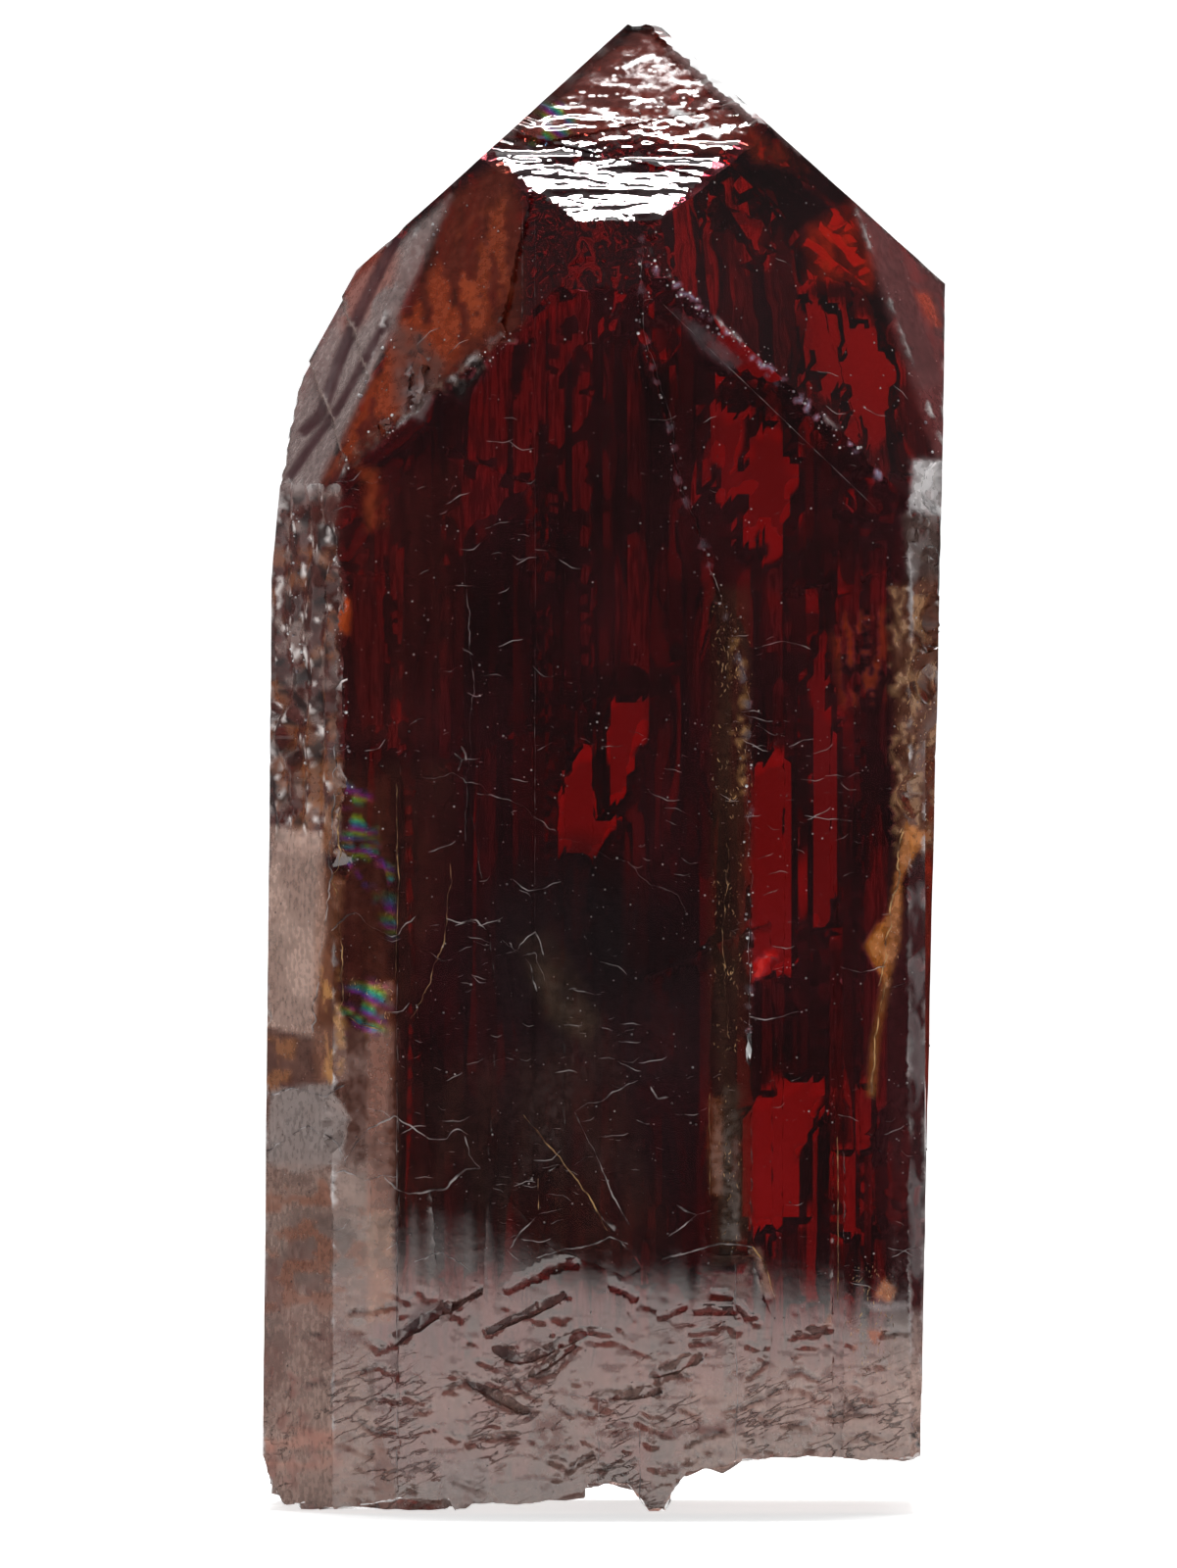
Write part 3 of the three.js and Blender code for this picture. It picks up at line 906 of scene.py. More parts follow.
    def broken(self, p: Array) -> Array:
        """Shell-like scars along the left side, deep above the middle and shallow below."""
        high = ease(p[:, 2], 16, 19)
        bowl = self.coarse.at(p + 3.1, (1.7, 1.7, 1.5))
        chips = self.odd.at(p, (0.7, 0.7, 0.9))
        share = (p[:, 0] * 1.9 + 1.6 * self.coarse.at(p, (3, 3, 1.3)) + 0.4 * chips) % 1
        stair = np.where(share < 0.3, share / 0.3, (1 - share) / 0.7) * (0.15 + 0.85 * bowl)
        rough = (0.05 + 0.1 * high) * np.abs(chips - 0.5) + 0.12 * (1 - high) * np.abs(bowl - 0.5)
        return high * self.scar * stair + rough

    def back(self, p: Array) -> Array:
        """Upright ribs that are flattened where the light comes through."""
        ribs = np.interp(p[:, 0], self.creases, self.depths)
        return ribs * (1 - self.clearness(p)) + 0.004 * (1 + self.fine.layered(p, (0.8, 0.8, 3), 2))

    def summit(self, p: Array) -> Array:
        """Terraces on the summit's front face, whose lower part lies a little flatter."""
        down = (HEIGHT - p[:, 2]) / SUMMIT_DROP
        rise = math.tan(math.radians(self.summit_tilt))
        tilt = rise * (self.summit_foot - np.maximum(down, self.summit_break))
        flat = np.stack([p[:, 0], down, down * 0], 1)
        wave = self.coarse.layered(flat, (1.1, 0.34, 1), 3)
        strong = 0.05 + 0.95 * ease(down + 0.8 * wave, 2.4, 3.8) - 0.7 * ease(down, 5.0, 6.0)
        steps = self.terrace * np.round(wave * 3) / 3 + 0.012 * self.fine.layered(flat, (0.3, 0.14, 1), 2)
        return np.maximum(0, tilt + 0.08 + steps * strong)

    def growth_lines(self, p: Array) -> Array:
        """Long growth steps on the outer left face of the point."""
        total = np.zeros(len(p))
        for line in GROWTH_LINES:
            corners = np.array(seen(*line))
            aside = p[:, 0] - np.interp(p[:, 2], corners[::-1, 1], corners[::-1, 0])
            aside = aside + 0.08 * self.coarse.at(p, 0.9)
            within = ease(p[:, 2], corners[-1, 1] - 0.3, corners[-1, 1] + 0.3)
            within *= 1 - ease(p[:, 2], corners[0, 1] - 0.3, corners[0, 1] + 0.3)
            total += within * ease(aside, -0.12, 0.12) * (1 - ease(aside, 0.12, 0.75))
        return self.growth_step * total

    def chipped(self, p: Array) -> Array:
        """The rough floors of chips."""
        return self.chip * (1 + self.odd.layered(p, 0.24, 2))

    def stairs(self, p: Array, normals: Array) -> Array:
        """Growth steps on the back of the point, whose upright sides let light through.

        Args:
            p: The points.
            normals: The outward normals of their faces.

        Returns:
            The depth of each point.
        """
        facing = normals[:, 1]
        level = normals - facing[:, None] * [0, 1, 0]
        level /= lengths(level)[:, None]
        slope = -(p * level).sum(1) / facing
        share = (slope / self.stair + 0.5 * self.coarse.at(p, (2.5, 9, 4))) % 1
        riser = facing**2
        depth = self.stair * facing * np.sqrt(1 - facing**2)
        cut = depth * np.where(share < riser, share / riser, (1 - share) / (1 - riser))
        summit = np.abs(normals[:, 0]) < 0.1
        cut *= 1 - ease(p[:, 2], HEIGHT - 1.6, HEIGHT - 0.7)
        return cut * np.where(summit, 1, ease(self.clearness(p), 0.4, 0.9)) + 0.02

    def amount(self, p: Array, side: Side, normals: Array) -> Array:
        """Finds how far points lie inside their face.

        Args:
            p: The points.
            side: The side that their faces look to.
            normals: The outward normals of their faces.

        Returns:
            The depth of each point.
        """
        if side is Side.FRONT:
            return self.front(p)
        if side is Side.BACK:
            return self.back(p)
        if side is Side.POINT_FRONT:
            plain = 0.008 * (1 + self.coarse.layered(p, 1.4, 3)) + self.growth_lines(p)
            return np.where(is_summit(normals), self.summit(p), plain)
        if side is Side.POINT_BACK:
            return self.stairs(p, normals)
        if side is Side.BASE:
            return 0.06 * (1 + self.coarse.layered(p, 0.7, 3))
        if side is Side.BEVEL:
            left = p[:, 0] < 0
            return np.where(left, self.broken(p), 0.05 * (1 + self.coarse.layered(p, (0.8, 0.8, 1.1), 3)))
        return 0.012 * (1 + self.coarse.layered(p, (0.8, 0.8, 2), 3))


@dataclass(frozen=True)
class StainOrPaintedLight:
    """A patch of the front that is clouded, frosted or coloured; some patches are painted glints, reflections
    or shade.

    Attributes:
        outline: Its corners as the viewer sees them, X and Z.
        colour: The code of its colour.
        frost: How far it hides what lies behind it, from 0 to 1.
        soft: The width of its soft edge.
        grain: The width and height of its mottling.
        broken: How much of it the mottling takes away, from 0 to 1.
        cover: The share of its area that isn't left bare.
    """

    outline: Outline
    colour: int
    frost: float
    soft: float = 0.4
    grain: tuple[float, float] = (0.5, 0.5)
    broken: float = 0.5
    cover: float = 1.0


# the line down the front where two parts of the crystal meet
CONTACT = (
    (655, 235), (655, 330), (684, 432), (696, 502), (716, 549), (741, 628), (763, 710), (765, 900),
    (765, 1060),
)
LEFT_FOOT = ((532, 335), (501, 361), (403, 429), (345, 480))  # the foot of the point's left face
RUSTY = ((912, 600), (958, 590), (958, 870), (918, 868))  # the golden part of the right edge
AMBER = ((924, 838), (953, 854), (934, 873), (920, 895), (918, 960), (905, 1010), (883, 964), (908, 930))
FIBRES = (0.16, 1.6)  # a mottling of upright fibres
SPECKLE = (0.22, 0.22)  # a fine, even mottling
# laid over one another in this order
STAINS_AND_PAINTED_LIGHT = [
    # the cool dark middle, a painted shade where little light comes through from behind
    StainOrPaintedLight(
        seen(
            (500, 915), (590, 880), (690, 925), (728, 1010), (725, 1150), (680, 1225), (590, 1195),
            (500, 1225), (450, 1130), (470, 1000),
        ),
        0x1C2426, 0.2, 2.2, (1.6, 2.6), 0.5,
    ),
    # the summit's front face
    StainOrPaintedLight(
        seen((660, 20), (770, 125), (730, 145), (650, 130), (520, 140), (560, 95)),
        0xD06454, 0.28, 0.6, (0.7, 0.2), 0.4,
    ),
    StainOrPaintedLight(
        seen((640, 50), (700, 50), (725, 100), (650, 110), (590, 95)),
        0xA03828, 0.3, 0.8, (0.4, 0.2), 0.3, 0.5,
    ),
    # white streaks and strips on the summit's front face: painted glints of the lamp
    StainOrPaintedLight(
        seen((640, 50), (700, 50), (770, 122), (640, 130), (560, 100)),
        0xFFF4F0, 0.9, 0.3, (0.3, 0.06), 0.1, 0.09,
    ),
    StainOrPaintedLight(strip(0.1, (636, 62), (652, 54), (668, 49)), 0xFFFFFF, 0.9, 0.08, SPECKLE, 0.1, 0.8),
    StainOrPaintedLight(strip(0.16, (685, 70), (698, 74), (710, 85)), 0xFFFFFF, 0.9, 0.08, SPECKLE, 0.1, 0.8),
    StainOrPaintedLight(strip(0.22, (684, 105), (710, 117), (735, 130)), 0xFFFFFF, 0.9, 0.1, SPECKLE, 0.1, 0.8),
    # the left face of the point
    StainOrPaintedLight(
        seen((460, 200), (520, 160), (533, 215), (533, 330), (440, 400), (350, 480)),
        0x7A2E18, 0.45, 0.5, (0.5, 1.2), 0.4,
    ),
    StainOrPaintedLight(
        seen((420, 300), (470, 250), (500, 330), (400, 430), (330, 490)),
        0xC04C18, 0.4, 0.6, (0.25, 0.8), 0.4, 0.5,
    ),
    StainOrPaintedLight(seen((470, 235), (520, 200), (520, 300), (470, 330)), 0xB04818, 0.4, 0.6, (0.25, 0.8), 0.4, 0.5),
    StainOrPaintedLight(seen((450, 385), (480, 360), (500, 370), (470, 410)), 0x180808, 0.7, 0.3, (0.3, 0.3), 0.4, 0.7),
    StainOrPaintedLight(
        seen((398, 326), (432, 342), (455, 372), (438, 404), (402, 414)),
        0x54423E, 0.6, 0.35, (0.2, 0.2), 0.3,
    ),
    StainOrPaintedLight(
        seen((408, 372), (436, 366), (442, 400), (430, 428), (412, 420)),
        0x8A7878, 0.5, 0.3, SPECKLE, 0.3, 0.5,
    ),
    StainOrPaintedLight(strip(0.35, *LEFT_FOOT), 0x70584C, 0.5, 0.15, (0.12, 0.12), 0.3, 0.3),
    # the outer left face of the point
    StainOrPaintedLight(
        seen((460, 200), (440, 245), (356, 429), (315, 512), (280, 520), (300, 400), (360, 290)),
        0xB4A09C, 0.6, 0.3, (1.5, 1.5), 0.15,
    ),
    StainOrPaintedLight(
        seen((380, 250), (410, 215), (400, 300), (350, 340), (340, 310)),
        0xA8503C, 0.5, 0.6, (0.6, 0.9), 0.2, 0.6,
    ),
    StainOrPaintedLight(strip(0.26, *GROWTH_LINES[0]), 0x40101A, 0.9, 0.12, (0.3, 0.3), 0.1),
    StainOrPaintedLight(strip(0.2, *GROWTH_LINES[1]), 0x40101A, 0.9, 0.12, (0.3, 0.3), 0.1),
    # the right face of the point
    StainOrPaintedLight(
        seen((824, 232), (868, 206), (882, 230), (895, 262), (890, 300), (862, 285), (826, 290)),
        0xD83008, 0.28, 0.4, (0.3, 0.6), 0.6,
    ),
    StainOrPaintedLight(seen((752, 120), (800, 150), (825, 175), (770, 165)), 0xB03818, 0.2, 0.4, (0.3, 0.4), 0.7),
    # a pale bluish band along the foot of the right face: painted glints
    StainOrPaintedLight(
        strip(0.2, (664, 268), (760, 355), (840, 430), (905, 493)),
        0xA49CB8, 0.65, 0.1, (0.1, 0.1), 0.2, 0.2,
    ),
    StainOrPaintedLight(strip(0.14, *CONTACT), 0x847C88, 0.4, 0.1, (0.1, 0.16), 0.3, 0.18),
    StainOrPaintedLight(
        seen((690, 318), (720, 335), (757, 370), (745, 378), (712, 352)),
        0x6C6064, 0.35, 0.2, (0.4, 0.4), 0.3,
    ),
    # the outer right face of the point
    StainOrPaintedLight(seen((870, 205), (965, 290), (968, 470), (955, 465)), 0x985C5C, 0.4, 0.3, (1.5, 1.5), 0.2),
    StainOrPaintedLight(seen((925, 400), (960, 395), (962, 460), (940, 440)), 0x6A1818, 0.5, 0.5, (0.4, 0.4), 0.3),
    StainOrPaintedLight(seen((935, 300), (950, 300), (962, 335), (950, 335)), 0xD04820, 0.5, 0.2, (0.2, 0.3), 0.5),
    # the left band
    StainOrPaintedLight(box(268, 500, 346, 870), 0x703C34, 0.5, 0.4, (0.5, 0.7), 0.4),
    # mauve-grey patches: painted reflections on smooth chips
    StainOrPaintedLight(box(268, 500, 346, 870), 0xA48C84, 0.45, 0.3, (0.16, 0.42), 0.2, 0.2),
    StainOrPaintedLight(box(268, 560, 340, 850), 0x9C5828, 0.42, 0.3, (0.2, 0.5), 0.2, 0.2),
    StainOrPaintedLight(box(270, 505, 345, 860), 0x14080A, 0.7, 0.2, (0.16, 0.4), 0.2, 0.2),
    # white specks: painted glints
    StainOrPaintedLight(box(270, 505, 345, 865), 0xFFF4F0, 0.8, 0.2, (0.08, 0.3), 0.1, 0.06),
    StainOrPaintedLight(seen((365, 478), (388, 480), (392, 535), (376, 540)), 0xC05020, 0.3, 0.4, (0.2, 0.5), 0.7),
    StainOrPaintedLight(seen((345, 612), (356, 612), (356, 646), (344, 642)), 0xF06010, 0.5, 0.25, (0.3, 0.3), 0.3),
    # a pale smooth patch: painted reflection of the bright surroundings
    StainOrPaintedLight(
        seen((272, 845), (325, 850), (332, 940), (318, 1060), (268, 1050)),
        0xD8B4A4, 0.65, 0.2, (0.9, 0.9), 0.3,
    ),
    StainOrPaintedLight(
        seen((325, 880), (350, 900), (345, 1000), (350, 1100), (322, 1110), (318, 1050)),
        0x9C5C38, 0.5, 0.3, (0.3, 0.7), 0.4,
    ),
    StainOrPaintedLight(box(262, 1050, 400, 1240), 0x8C6050, 0.45, 0.5, (0.6, 0.6), 0.4),
    StainOrPaintedLight(
        seen((275, 1115), (335, 1105), (352, 1140), (350, 1185), (300, 1200), (270, 1190)),
        0xA09490, 0.6, 0.15, (1.2, 1.2), 0.15,
    ),
    StainOrPaintedLight(seen((262, 1060), (302, 1062), (292, 1112), (262, 1118)), 0xA0602C, 0.5, 0.2, (0.3, 0.3), 0.3, 0.6),
    StainOrPaintedLight(strip(0.5, (335, 985), (343, 1050), (338, 1105)), 0xD89850, 0.55, 0.2, (0.15, 0.4), 0.2, 0.4),
    StainOrPaintedLight(box(258, 1190, 380, 1540), 0xAC9084, 0.55, 0.5, (0.9, 0.9), 0.4),
    StainOrPaintedLight(box(262, 1195, 375, 1340), 0x8C4824, 0.5, 0.4, (0.5, 0.3), 0.2, 0.35),
    StainOrPaintedLight(box(262, 1380, 345, 1520), 0x7C3028, 0.5, 0.4, (0.3, 0.4), 0.2, 0.16),
    StainOrPaintedLight(box(262, 1460, 350, 1500), 0xC87860, 0.4, 0.3, (0.5, 0.2), 0.3, 0.5),
    StainOrPaintedLight(seen((300, 780), (345, 775), (345, 870), (305, 870)), 0xA86430, 0.45, 0.4, (0.3, 0.6), 0.2, 0.6),
    StainOrPaintedLight(box(350, 800, 395, 1010), 0x6C2C18, 0.22, 0.6, (0.4, 1.2), 0.4),
    StainOrPaintedLight(strip(0.7, (388, 1000), (388, 1240)), 0x9C4818, 0.4, 0.12, (0.3, 1.2), 0.4),
    StainOrPaintedLight(strip(0.7, (388, 1235), (388, 1350)), 0xD09C80, 0.45, 0.15, (0.3, 0.6), 0.4),
    StainOrPaintedLight(seen((374, 1395), (381, 1395), (383, 1440), (379, 1440)), 0x4A1C10, 0.8, 0.08, SPECKLE, 0.1),
    StainOrPaintedLight(
        seen((380, 1462), (387, 1458), (402, 1500), (402, 1545), (384, 1545), (382, 1495)),
        0x7A300F, 0.65, 0.1, SPECKLE, 0.2,
    ),
    StainOrPaintedLight(seen((402, 1484), (448, 1490), (448, 1502), (402, 1504)), 0x7C6468, 0.4, 0.15, SPECKLE, 0.2),
    StainOrPaintedLight(seen((450, 1494), (500, 1488), (500, 1545), (450, 1545)), 0xA8A0A0, 0.4, 0.06, (0.9, 0.9), 0.2),
    StainOrPaintedLight(seen((345, 500), (470, 470), (470, 640), (440, 760), (345, 760)), 0x983830, 0.07, 1.0, FIBRES, 0.6),
    # the dark middle
    StainOrPaintedLight(
        seen((350, 780), (460, 780), (460, 900), (420, 1030), (400, 1200), (350, 1200)),
        0x7A4230, 0.1, 0.8, (0.4, 1.0), 0.5,
    ),
    StainOrPaintedLight(seen((405, 1100), (620, 1060), (690, 1300), (405, 1300)), 0x80503C, 0.06, 1.4, (0.3, 1.4), 0.6),
    StainOrPaintedLight(
        seen((530, 960), (560, 950), (610, 1040), (600, 1070), (560, 1040)),
        0x8C7050, 0.1, 0.6, (0.5, 0.5), 0.6,
    ),
    # the healed seam
    StainOrPaintedLight(strip(1.0, (744, 600), (746, 800), (744, 1050), (746, 1290)), 0x6C4A30, 0.14, 0.4, FIBRES, 0.5),
    StainOrPaintedLight(strip(0.4, (753, 650), (755, 740), (757, 820)), 0xC08C50, 0.4, 0.2, (0.12, 0.3), 0.3, 0.3),
    StainOrPaintedLight(strip(0.33, (731, 1119), (731, 1221)), 0x984C10, 0.4, 0.1, (0.3, 1.2), 0.3),
    StainOrPaintedLight(strip(0.5, (746, 1107), (746, 1266)), 0x4C4030, 0.25, 0.15, (0.3, 1.2), 0.4),
    # the right edge
    StainOrPaintedLight(seen(*RUSTY), 0x7C4830, 0.55, 0.4, (0.3, 0.5), 0.4),
    StainOrPaintedLight(seen((908, 600), (958, 590), (958, 870), (912, 868)), 0xBC8C60, 0.5, 0.3, (0.13, 0.34), 0.2, 0.22),
    StainOrPaintedLight(seen(*AMBER), 0xDC8018, 0.58, 0.15, (0.2, 0.6), 0.35),
    StainOrPaintedLight(strip(0.2, (905, 1000), (893, 1060), (889, 1120)), 0xA86820, 0.4, 0.2, (0.3, 0.8), 0.4),
    StainOrPaintedLight(box(905, 870, 962, 1350), 0x5A2628, 0.22, 0.5, (0.4, 1.2), 0.3),
    StainOrPaintedLight(seen((932, 470), (961, 470), (962, 525), (930, 522)), 0xE8E4E4, 0.75, 0.2, SPECKLE, 0.3),
    StainOrPaintedLight(seen((922, 525), (960, 525), (958, 590), (926, 590)), 0x6C5850, 0.6, 0.3, SPECKLE, 0.5),
    StainOrPaintedLight(seen((850, 630), (905, 620), (900, 715), (860, 720)), 0xD04C18, 0.2, 0.5, (0.14, 0.8), 0.3, 0.4),
    StainOrPaintedLight(box(905, 1340, 945, 1480), 0xB09890, 0.45, 0.5, (0.5, 0.5), 0.5),
    # pale frost low on the right, partly etching and partly a painted reflection
    StainOrPaintedLight(seen((700, 1410), (960, 1395), (960, 1560), (700, 1560)), 0xF0CCBC, 0.26, 1.2, (0.9, 0.5), 0.3),
    # a painted glow: the bright foot of the second window, where light reflects inside
    StainOrPaintedLight(seen((766, 976), (792, 970), (792, 1000), (767, 1000)), 0xFF1400, 0.38, 0.2, (0.3, 0.2), 0.2, 0.5),
    # the low etched part, whose pale frost is partly a painted reflection
    StainOrPaintedLight(
        seen((400, 1300), (960, 1370), (960, 1560), (260, 1560), (262, 1320)),
        0xC49C90, 0.17, 1.6, (1.1, 0.5), 0.3,
    ),
    StainOrPaintedLight(
        seen((640, 1380), (960, 1370), (960, 1560), (260, 1560), (262, 1440)),
        0xE0B8A8, 0.17, 2.0, (0.7, 0.4), 0.4,
    ),
    StainOrPaintedLight(
        seen((400, 1330), (960, 1380), (960, 1530), (300, 1530), (300, 1360)),
        0x6C2C28, 0.4, 1.2, (0.4, 0.12), 0.2, 0.14,
    ),
    StainOrPaintedLight(
        strip(
            0.32, (594, 1460), (622, 1455), (643, 1457), (674, 1459), (696, 1465), (716, 1457), (741, 1458),
        ),
        0x701C0C, 0.6, 0.2, (0.4, 0.12), 0.2, 0.65,
    ),
    StainOrPaintedLight(
        seen((545, 1450), (570, 1440), (575, 1470), (556, 1495), (548, 1480)),
        0x7C3C30, 0.45, 0.3, (0.3, 0.3), 0.2, 0.7,
    ),
    StainOrPaintedLight(seen((400, 1375), (440, 1345), (445, 1330), (425, 1335)), 0x503038, 0.45, 0.25, (0.3, 0.3), 0.3),
    StainOrPaintedLight(box(872, 1358, 900, 1376), 0xD86828, 0.45, 0.2, (0.3, 0.2), 0.2, 0.8),
    StainOrPaintedLight(seen((893, 1322), (902, 1306), (914, 1316), (908, 1330)), 0xE07818, 0.5, 0.2, (0.3, 0.3), 0.2),
    StainOrPaintedLight(seen((882, 1330), (925, 1330), (925, 1338), (890, 1339)), 0xB0A0A0, 0.4, 0.15, (0.5, 0.2), 0.3),
    StainOrPaintedLight(
        seen((828, 1330), (848, 1330), (852, 1356), (842, 1352)),
        0xC07858, 0.35, 0.2, (0.15, 0.5), 0.3, 0.7,
    ),
    StainOrPaintedLight(
        seen((765, 1275), (775, 1275), (792, 1325), (778, 1318)),
        0xB06A40, 0.35, 0.2, (0.15, 0.4), 0.3, 0.8,
    ),
    StainOrPaintedLight(
        seen((705, 1300), (765, 1290), (768, 1325), (715, 1325)),
        0x70301C, 0.35, 0.4, (0.4, 0.3), 0.3, 0.6,
    ),
]
# thin films that shine in rainbow colours
RAINBOWS = [
    seen((350, 800), (376, 812), (384, 880), (372, 905), (352, 885)),
    seen((384, 868), (402, 878), (402, 960), (386, 925)),
    seen((348, 1010), (392, 1000), (398, 1050), (352, 1056)),
    seen((556, 98), (590, 98), (580, 132), (540, 140)),
]
SUMMIT_EDGE_HIGHLIGHT = strip(0.6, (684, 36), (728, 79), (768, 120))  # the right edge of the summit, painted white and frosted: a painted highlight of the lamp
HAZE = 0xD86070  # the faint film over all of the front
HAZE_FROST = 0.02
EDGE = 0xE4DAD8  # worn edges
BREAK = 0xB8A098  # the broken underside
CUT_SHADE = 0x32141A  # the painted shade in the cuts
CUTS_BELOW = 7.5  # the height below which all cuts lie


@dataclass
class Paint:
    """The colour and the frost of each point of the surface."""

    def __post_init__(self) -> None:
        """Makes the sources of the mottling."""
        self.mottle = Grain(31)
        self.wear = Grain(32)

    def front(self, p: Array) -> tuple[Array, Array]:
        """Lays the stains and the painted light over one another.

        Args:
            p: Points that the viewer sees.

        Returns:
            The colour and the frost of each point.
        """
        flat = p * [1, 0, 1]
        colour = np.tile(colour_of(HAZE), (len(p), 1))
        frost = HAZE_FROST * (0.5 + self.mottle.at(flat, (1.5, 1, 3)))
        for stain_and_light in STAINS_AND_PAINTED_LIGHT:
            share = patch(p[:, [0, 2]], stain_and_light.outline, stain_and_light.soft)
            close = share > 0
            size = (stain_and_light.grain[0], 1.0, stain_and_light.grain[1])
            grain = self.mottle.layered(flat[close], size, 3)
            laid = share[close] * (1 - stain_and_light.broken * ease(grain, -0.35, 0.45))
            if stain_and_light.cover < 1:
                edge = NormalDist(0, 0.47).inv_cdf(stain_and_light.cover)
                laid *= 1 - ease(grain, edge - 0.12, edge + 0.12)
            over = laid * stain_and_light.frost
            before = frost[close]
            total = before * (1 - over) + over
            weight = (over / np.maximum(total, 1e-6))[:, None]
            colour[close] = colour[close] * (1 - weight) + colour_of(stain_and_light.colour) * weight
            frost[close] = total
        for outline in RAINBOWS:
            share = patch(p[:, [0, 2]], outline, 0.35)
            close = share > 0
            phase = flat[close] @ [1.1, 0, 2.2] + 1.5 * self.mottle.at(flat[close], (0.8, 1, 0.8))
            bands = 0.42 + 0.4 * np.cos(math.tau * (phase[:, None] + [0, 0.36, 0.68]))
            laid = share[close] * ease(self.wear.at(flat[close], (0.3, 1, 0.3)), 0.35, 0.7)
            colour[close] += (bands - colour[close]) * laid[:, None]
            frost[close] = np.maximum(frost[close], 0.2 * laid)
        self.shade_cuts(p, colour, frost)
        return colour, frost

    def shade_cuts(self, p: Array, colour: Array, frost: Array) -> None:
        """Paints shade into the cuts low on the front, thickest in the middle of each.

        Args:
            p: The points.
            colour: Their colours, which are changed.
            frost: Their frost, which is changed.
        """
        low = np.nonzero(p[:, 2] < CUTS_BELOW)[0]
        uneven = self.wear.at(p[low] * [1, 0, 1], (0.25, 1, 0.25))
        share = covered(p[low][:, [0, 2]], [strip(0.07, *line) for line in CUTS], 0.13)
        share *= ease(uneven + 0.5 * share, 0.35, 0.75)
        # dark painted shade in the cuts
        colour[low] += (colour_of(CUT_SHADE) - colour[low]) * share[:, None]
        frost[low] = np.maximum(frost[low], 0.8 * share)

    def colours(self, p: Array, facing: Array, bend: Array, relief: Relief) -> Array:
        """Finds the colour and the frost of all points.

        Args:
            p: The points.
            facing: The sum of the normals of the faces around each point.
            bend: How sharply the surface turns at each point, 0 where it is flat.
            relief: The relief, which knows how clear the back is.

        Returns:
            Red, green, blue and frost for each point.
        """
        made = np.ones((len(p), 4))
        made[:, 3] = FAINT_FROST
        ahead = facing[:, 1] < -0.15
        made[ahead, :3], made[ahead, 3] = self.front(p[ahead])
        behind = facing[:, 1] > 0.3
        made[behind, :3] = colour_of(BACK_TINT) * relief.shade(p[behind])[:, None]
        under = (facing[:, 2] < -0.3) & ~ahead
        made[under, :3] = colour_of(BREAK)
        made[under, 3] = UNDERSIDE_FROST
        # the summit's right edge is painted white: a painted highlight
        painted_highlight = patch(p[:, [0, 2]], SUMMIT_EDGE_HIGHLIGHT, 0.1) * (facing[:, 1] < 0.3) * ease(facing[:, 0], 0.2, 0.4)
        made[:, :3] += (1 - made[:, :3]) * painted_highlight[:, None]
        made[:, 3] = np.maximum(made[:, 3], painted_highlight)
        worn = ease(bend, 0.02, 0.12) * ease(self.wear.at(p, 0.4), 0.45, 0.85)
        worn *= np.where(facing[:, 1] > -0.3, 0.1, 0.4)
        made[:, :3] += (colour_of(EDGE) - made[:, :3]) * np.minimum(1, 4 * worn)[:, None]
        made[:, 3] = np.maximum(made[:, 3], worn * 0.8)
        return made

    def fields(self, p: Array, facing: Array) -> dict[str, Array]:
        """Finds how thickly cracks and specks lie.

        Args:
            p: The points.
            facing: The sum of the normals of the faces around each point.

        Returns:
            For each field's name, a value between 0 and 1 for each point.
        """
        toward = -facing[:, 1] / lengths(facing)
        ahead = ease(toward, 0.3, 0.5)
        front = ease(toward, 0.7, 0.8) * (1 - ease(np.abs(p[:, 0] - 0.1), 7.9, 8.3))
        flat = p[:, [0, 2]]
        lumps = ease(self.wear.at(p, (2.2, 9, 1.6)), 0.35, 0.75)
        cracked = np.maximum(0.35, covered(flat, CRACKED, 1.5))
        cracks = front * lumps * cracked * (1 - 0.8 * ease(p[:, 2], 30, 34))
        specks = ahead * (0.25 + 0.3 * lumps)
        gold = ahead * covered(flat, GOLDEN, 0.3)
        beads = np.zeros(len(p))
        for outline, share in BEADED:
            beads = np.maximum(beads, ahead * patch(flat, outline, 0.2) * share)
        patchy = ease(self.mottle.at(p, 0.8), 0.25, 0.7)
        etched = ahead * ease(4.6 + 1.5 * self.mottle.at(p, (3, 9, 2)) - p[:, 2], 0, 2.0)
        fields = {"cracks": cracks, "specks": specks, "etched": etched}
        return fields | {"beads": beads * patchy, "gold": gold * patchy}


# where the cracks are thickest
CRACKED = [
    box(745, 620, 940, 860),
    box(745, 960, 940, 1300),
    box(440, 920, 760, 1290),
    box(330, 1060, 480, 1250),
    seen((430, 460), (560, 460), (560, 560), (430, 560)),
]
# edges with bright beads, and how thickly these lie
BEADED = [
    (strip(0.22, *CONTACT), 0.4),
    (strip(0.25, (662, 262), (668, 277), (760, 355), (840, 430), (905, 493)), 0.9),
    (strip(0.25, (729, 141), (700, 170), (668, 240), (655, 235)), 0.4),
    (strip(0.3, *LEFT_FOOT), 0.4),
    (strip(0.2, (870, 205), (893, 262), (925, 370), (958, 468)), 0.4),
    (strip(0.2, (460, 200), (444, 241), (407, 306), (370, 384), (329, 494)), 0.4),
    (strip(0.25, (345, 505), (340, 620), (352, 740), (350, 860)), 0.4),
    (strip(0.2, (300, 520), (296, 640), (305, 760), (300, 850)), 0.4),
    (strip(0.2, (940, 590), (938, 700), (945, 860)), 0.4),
]
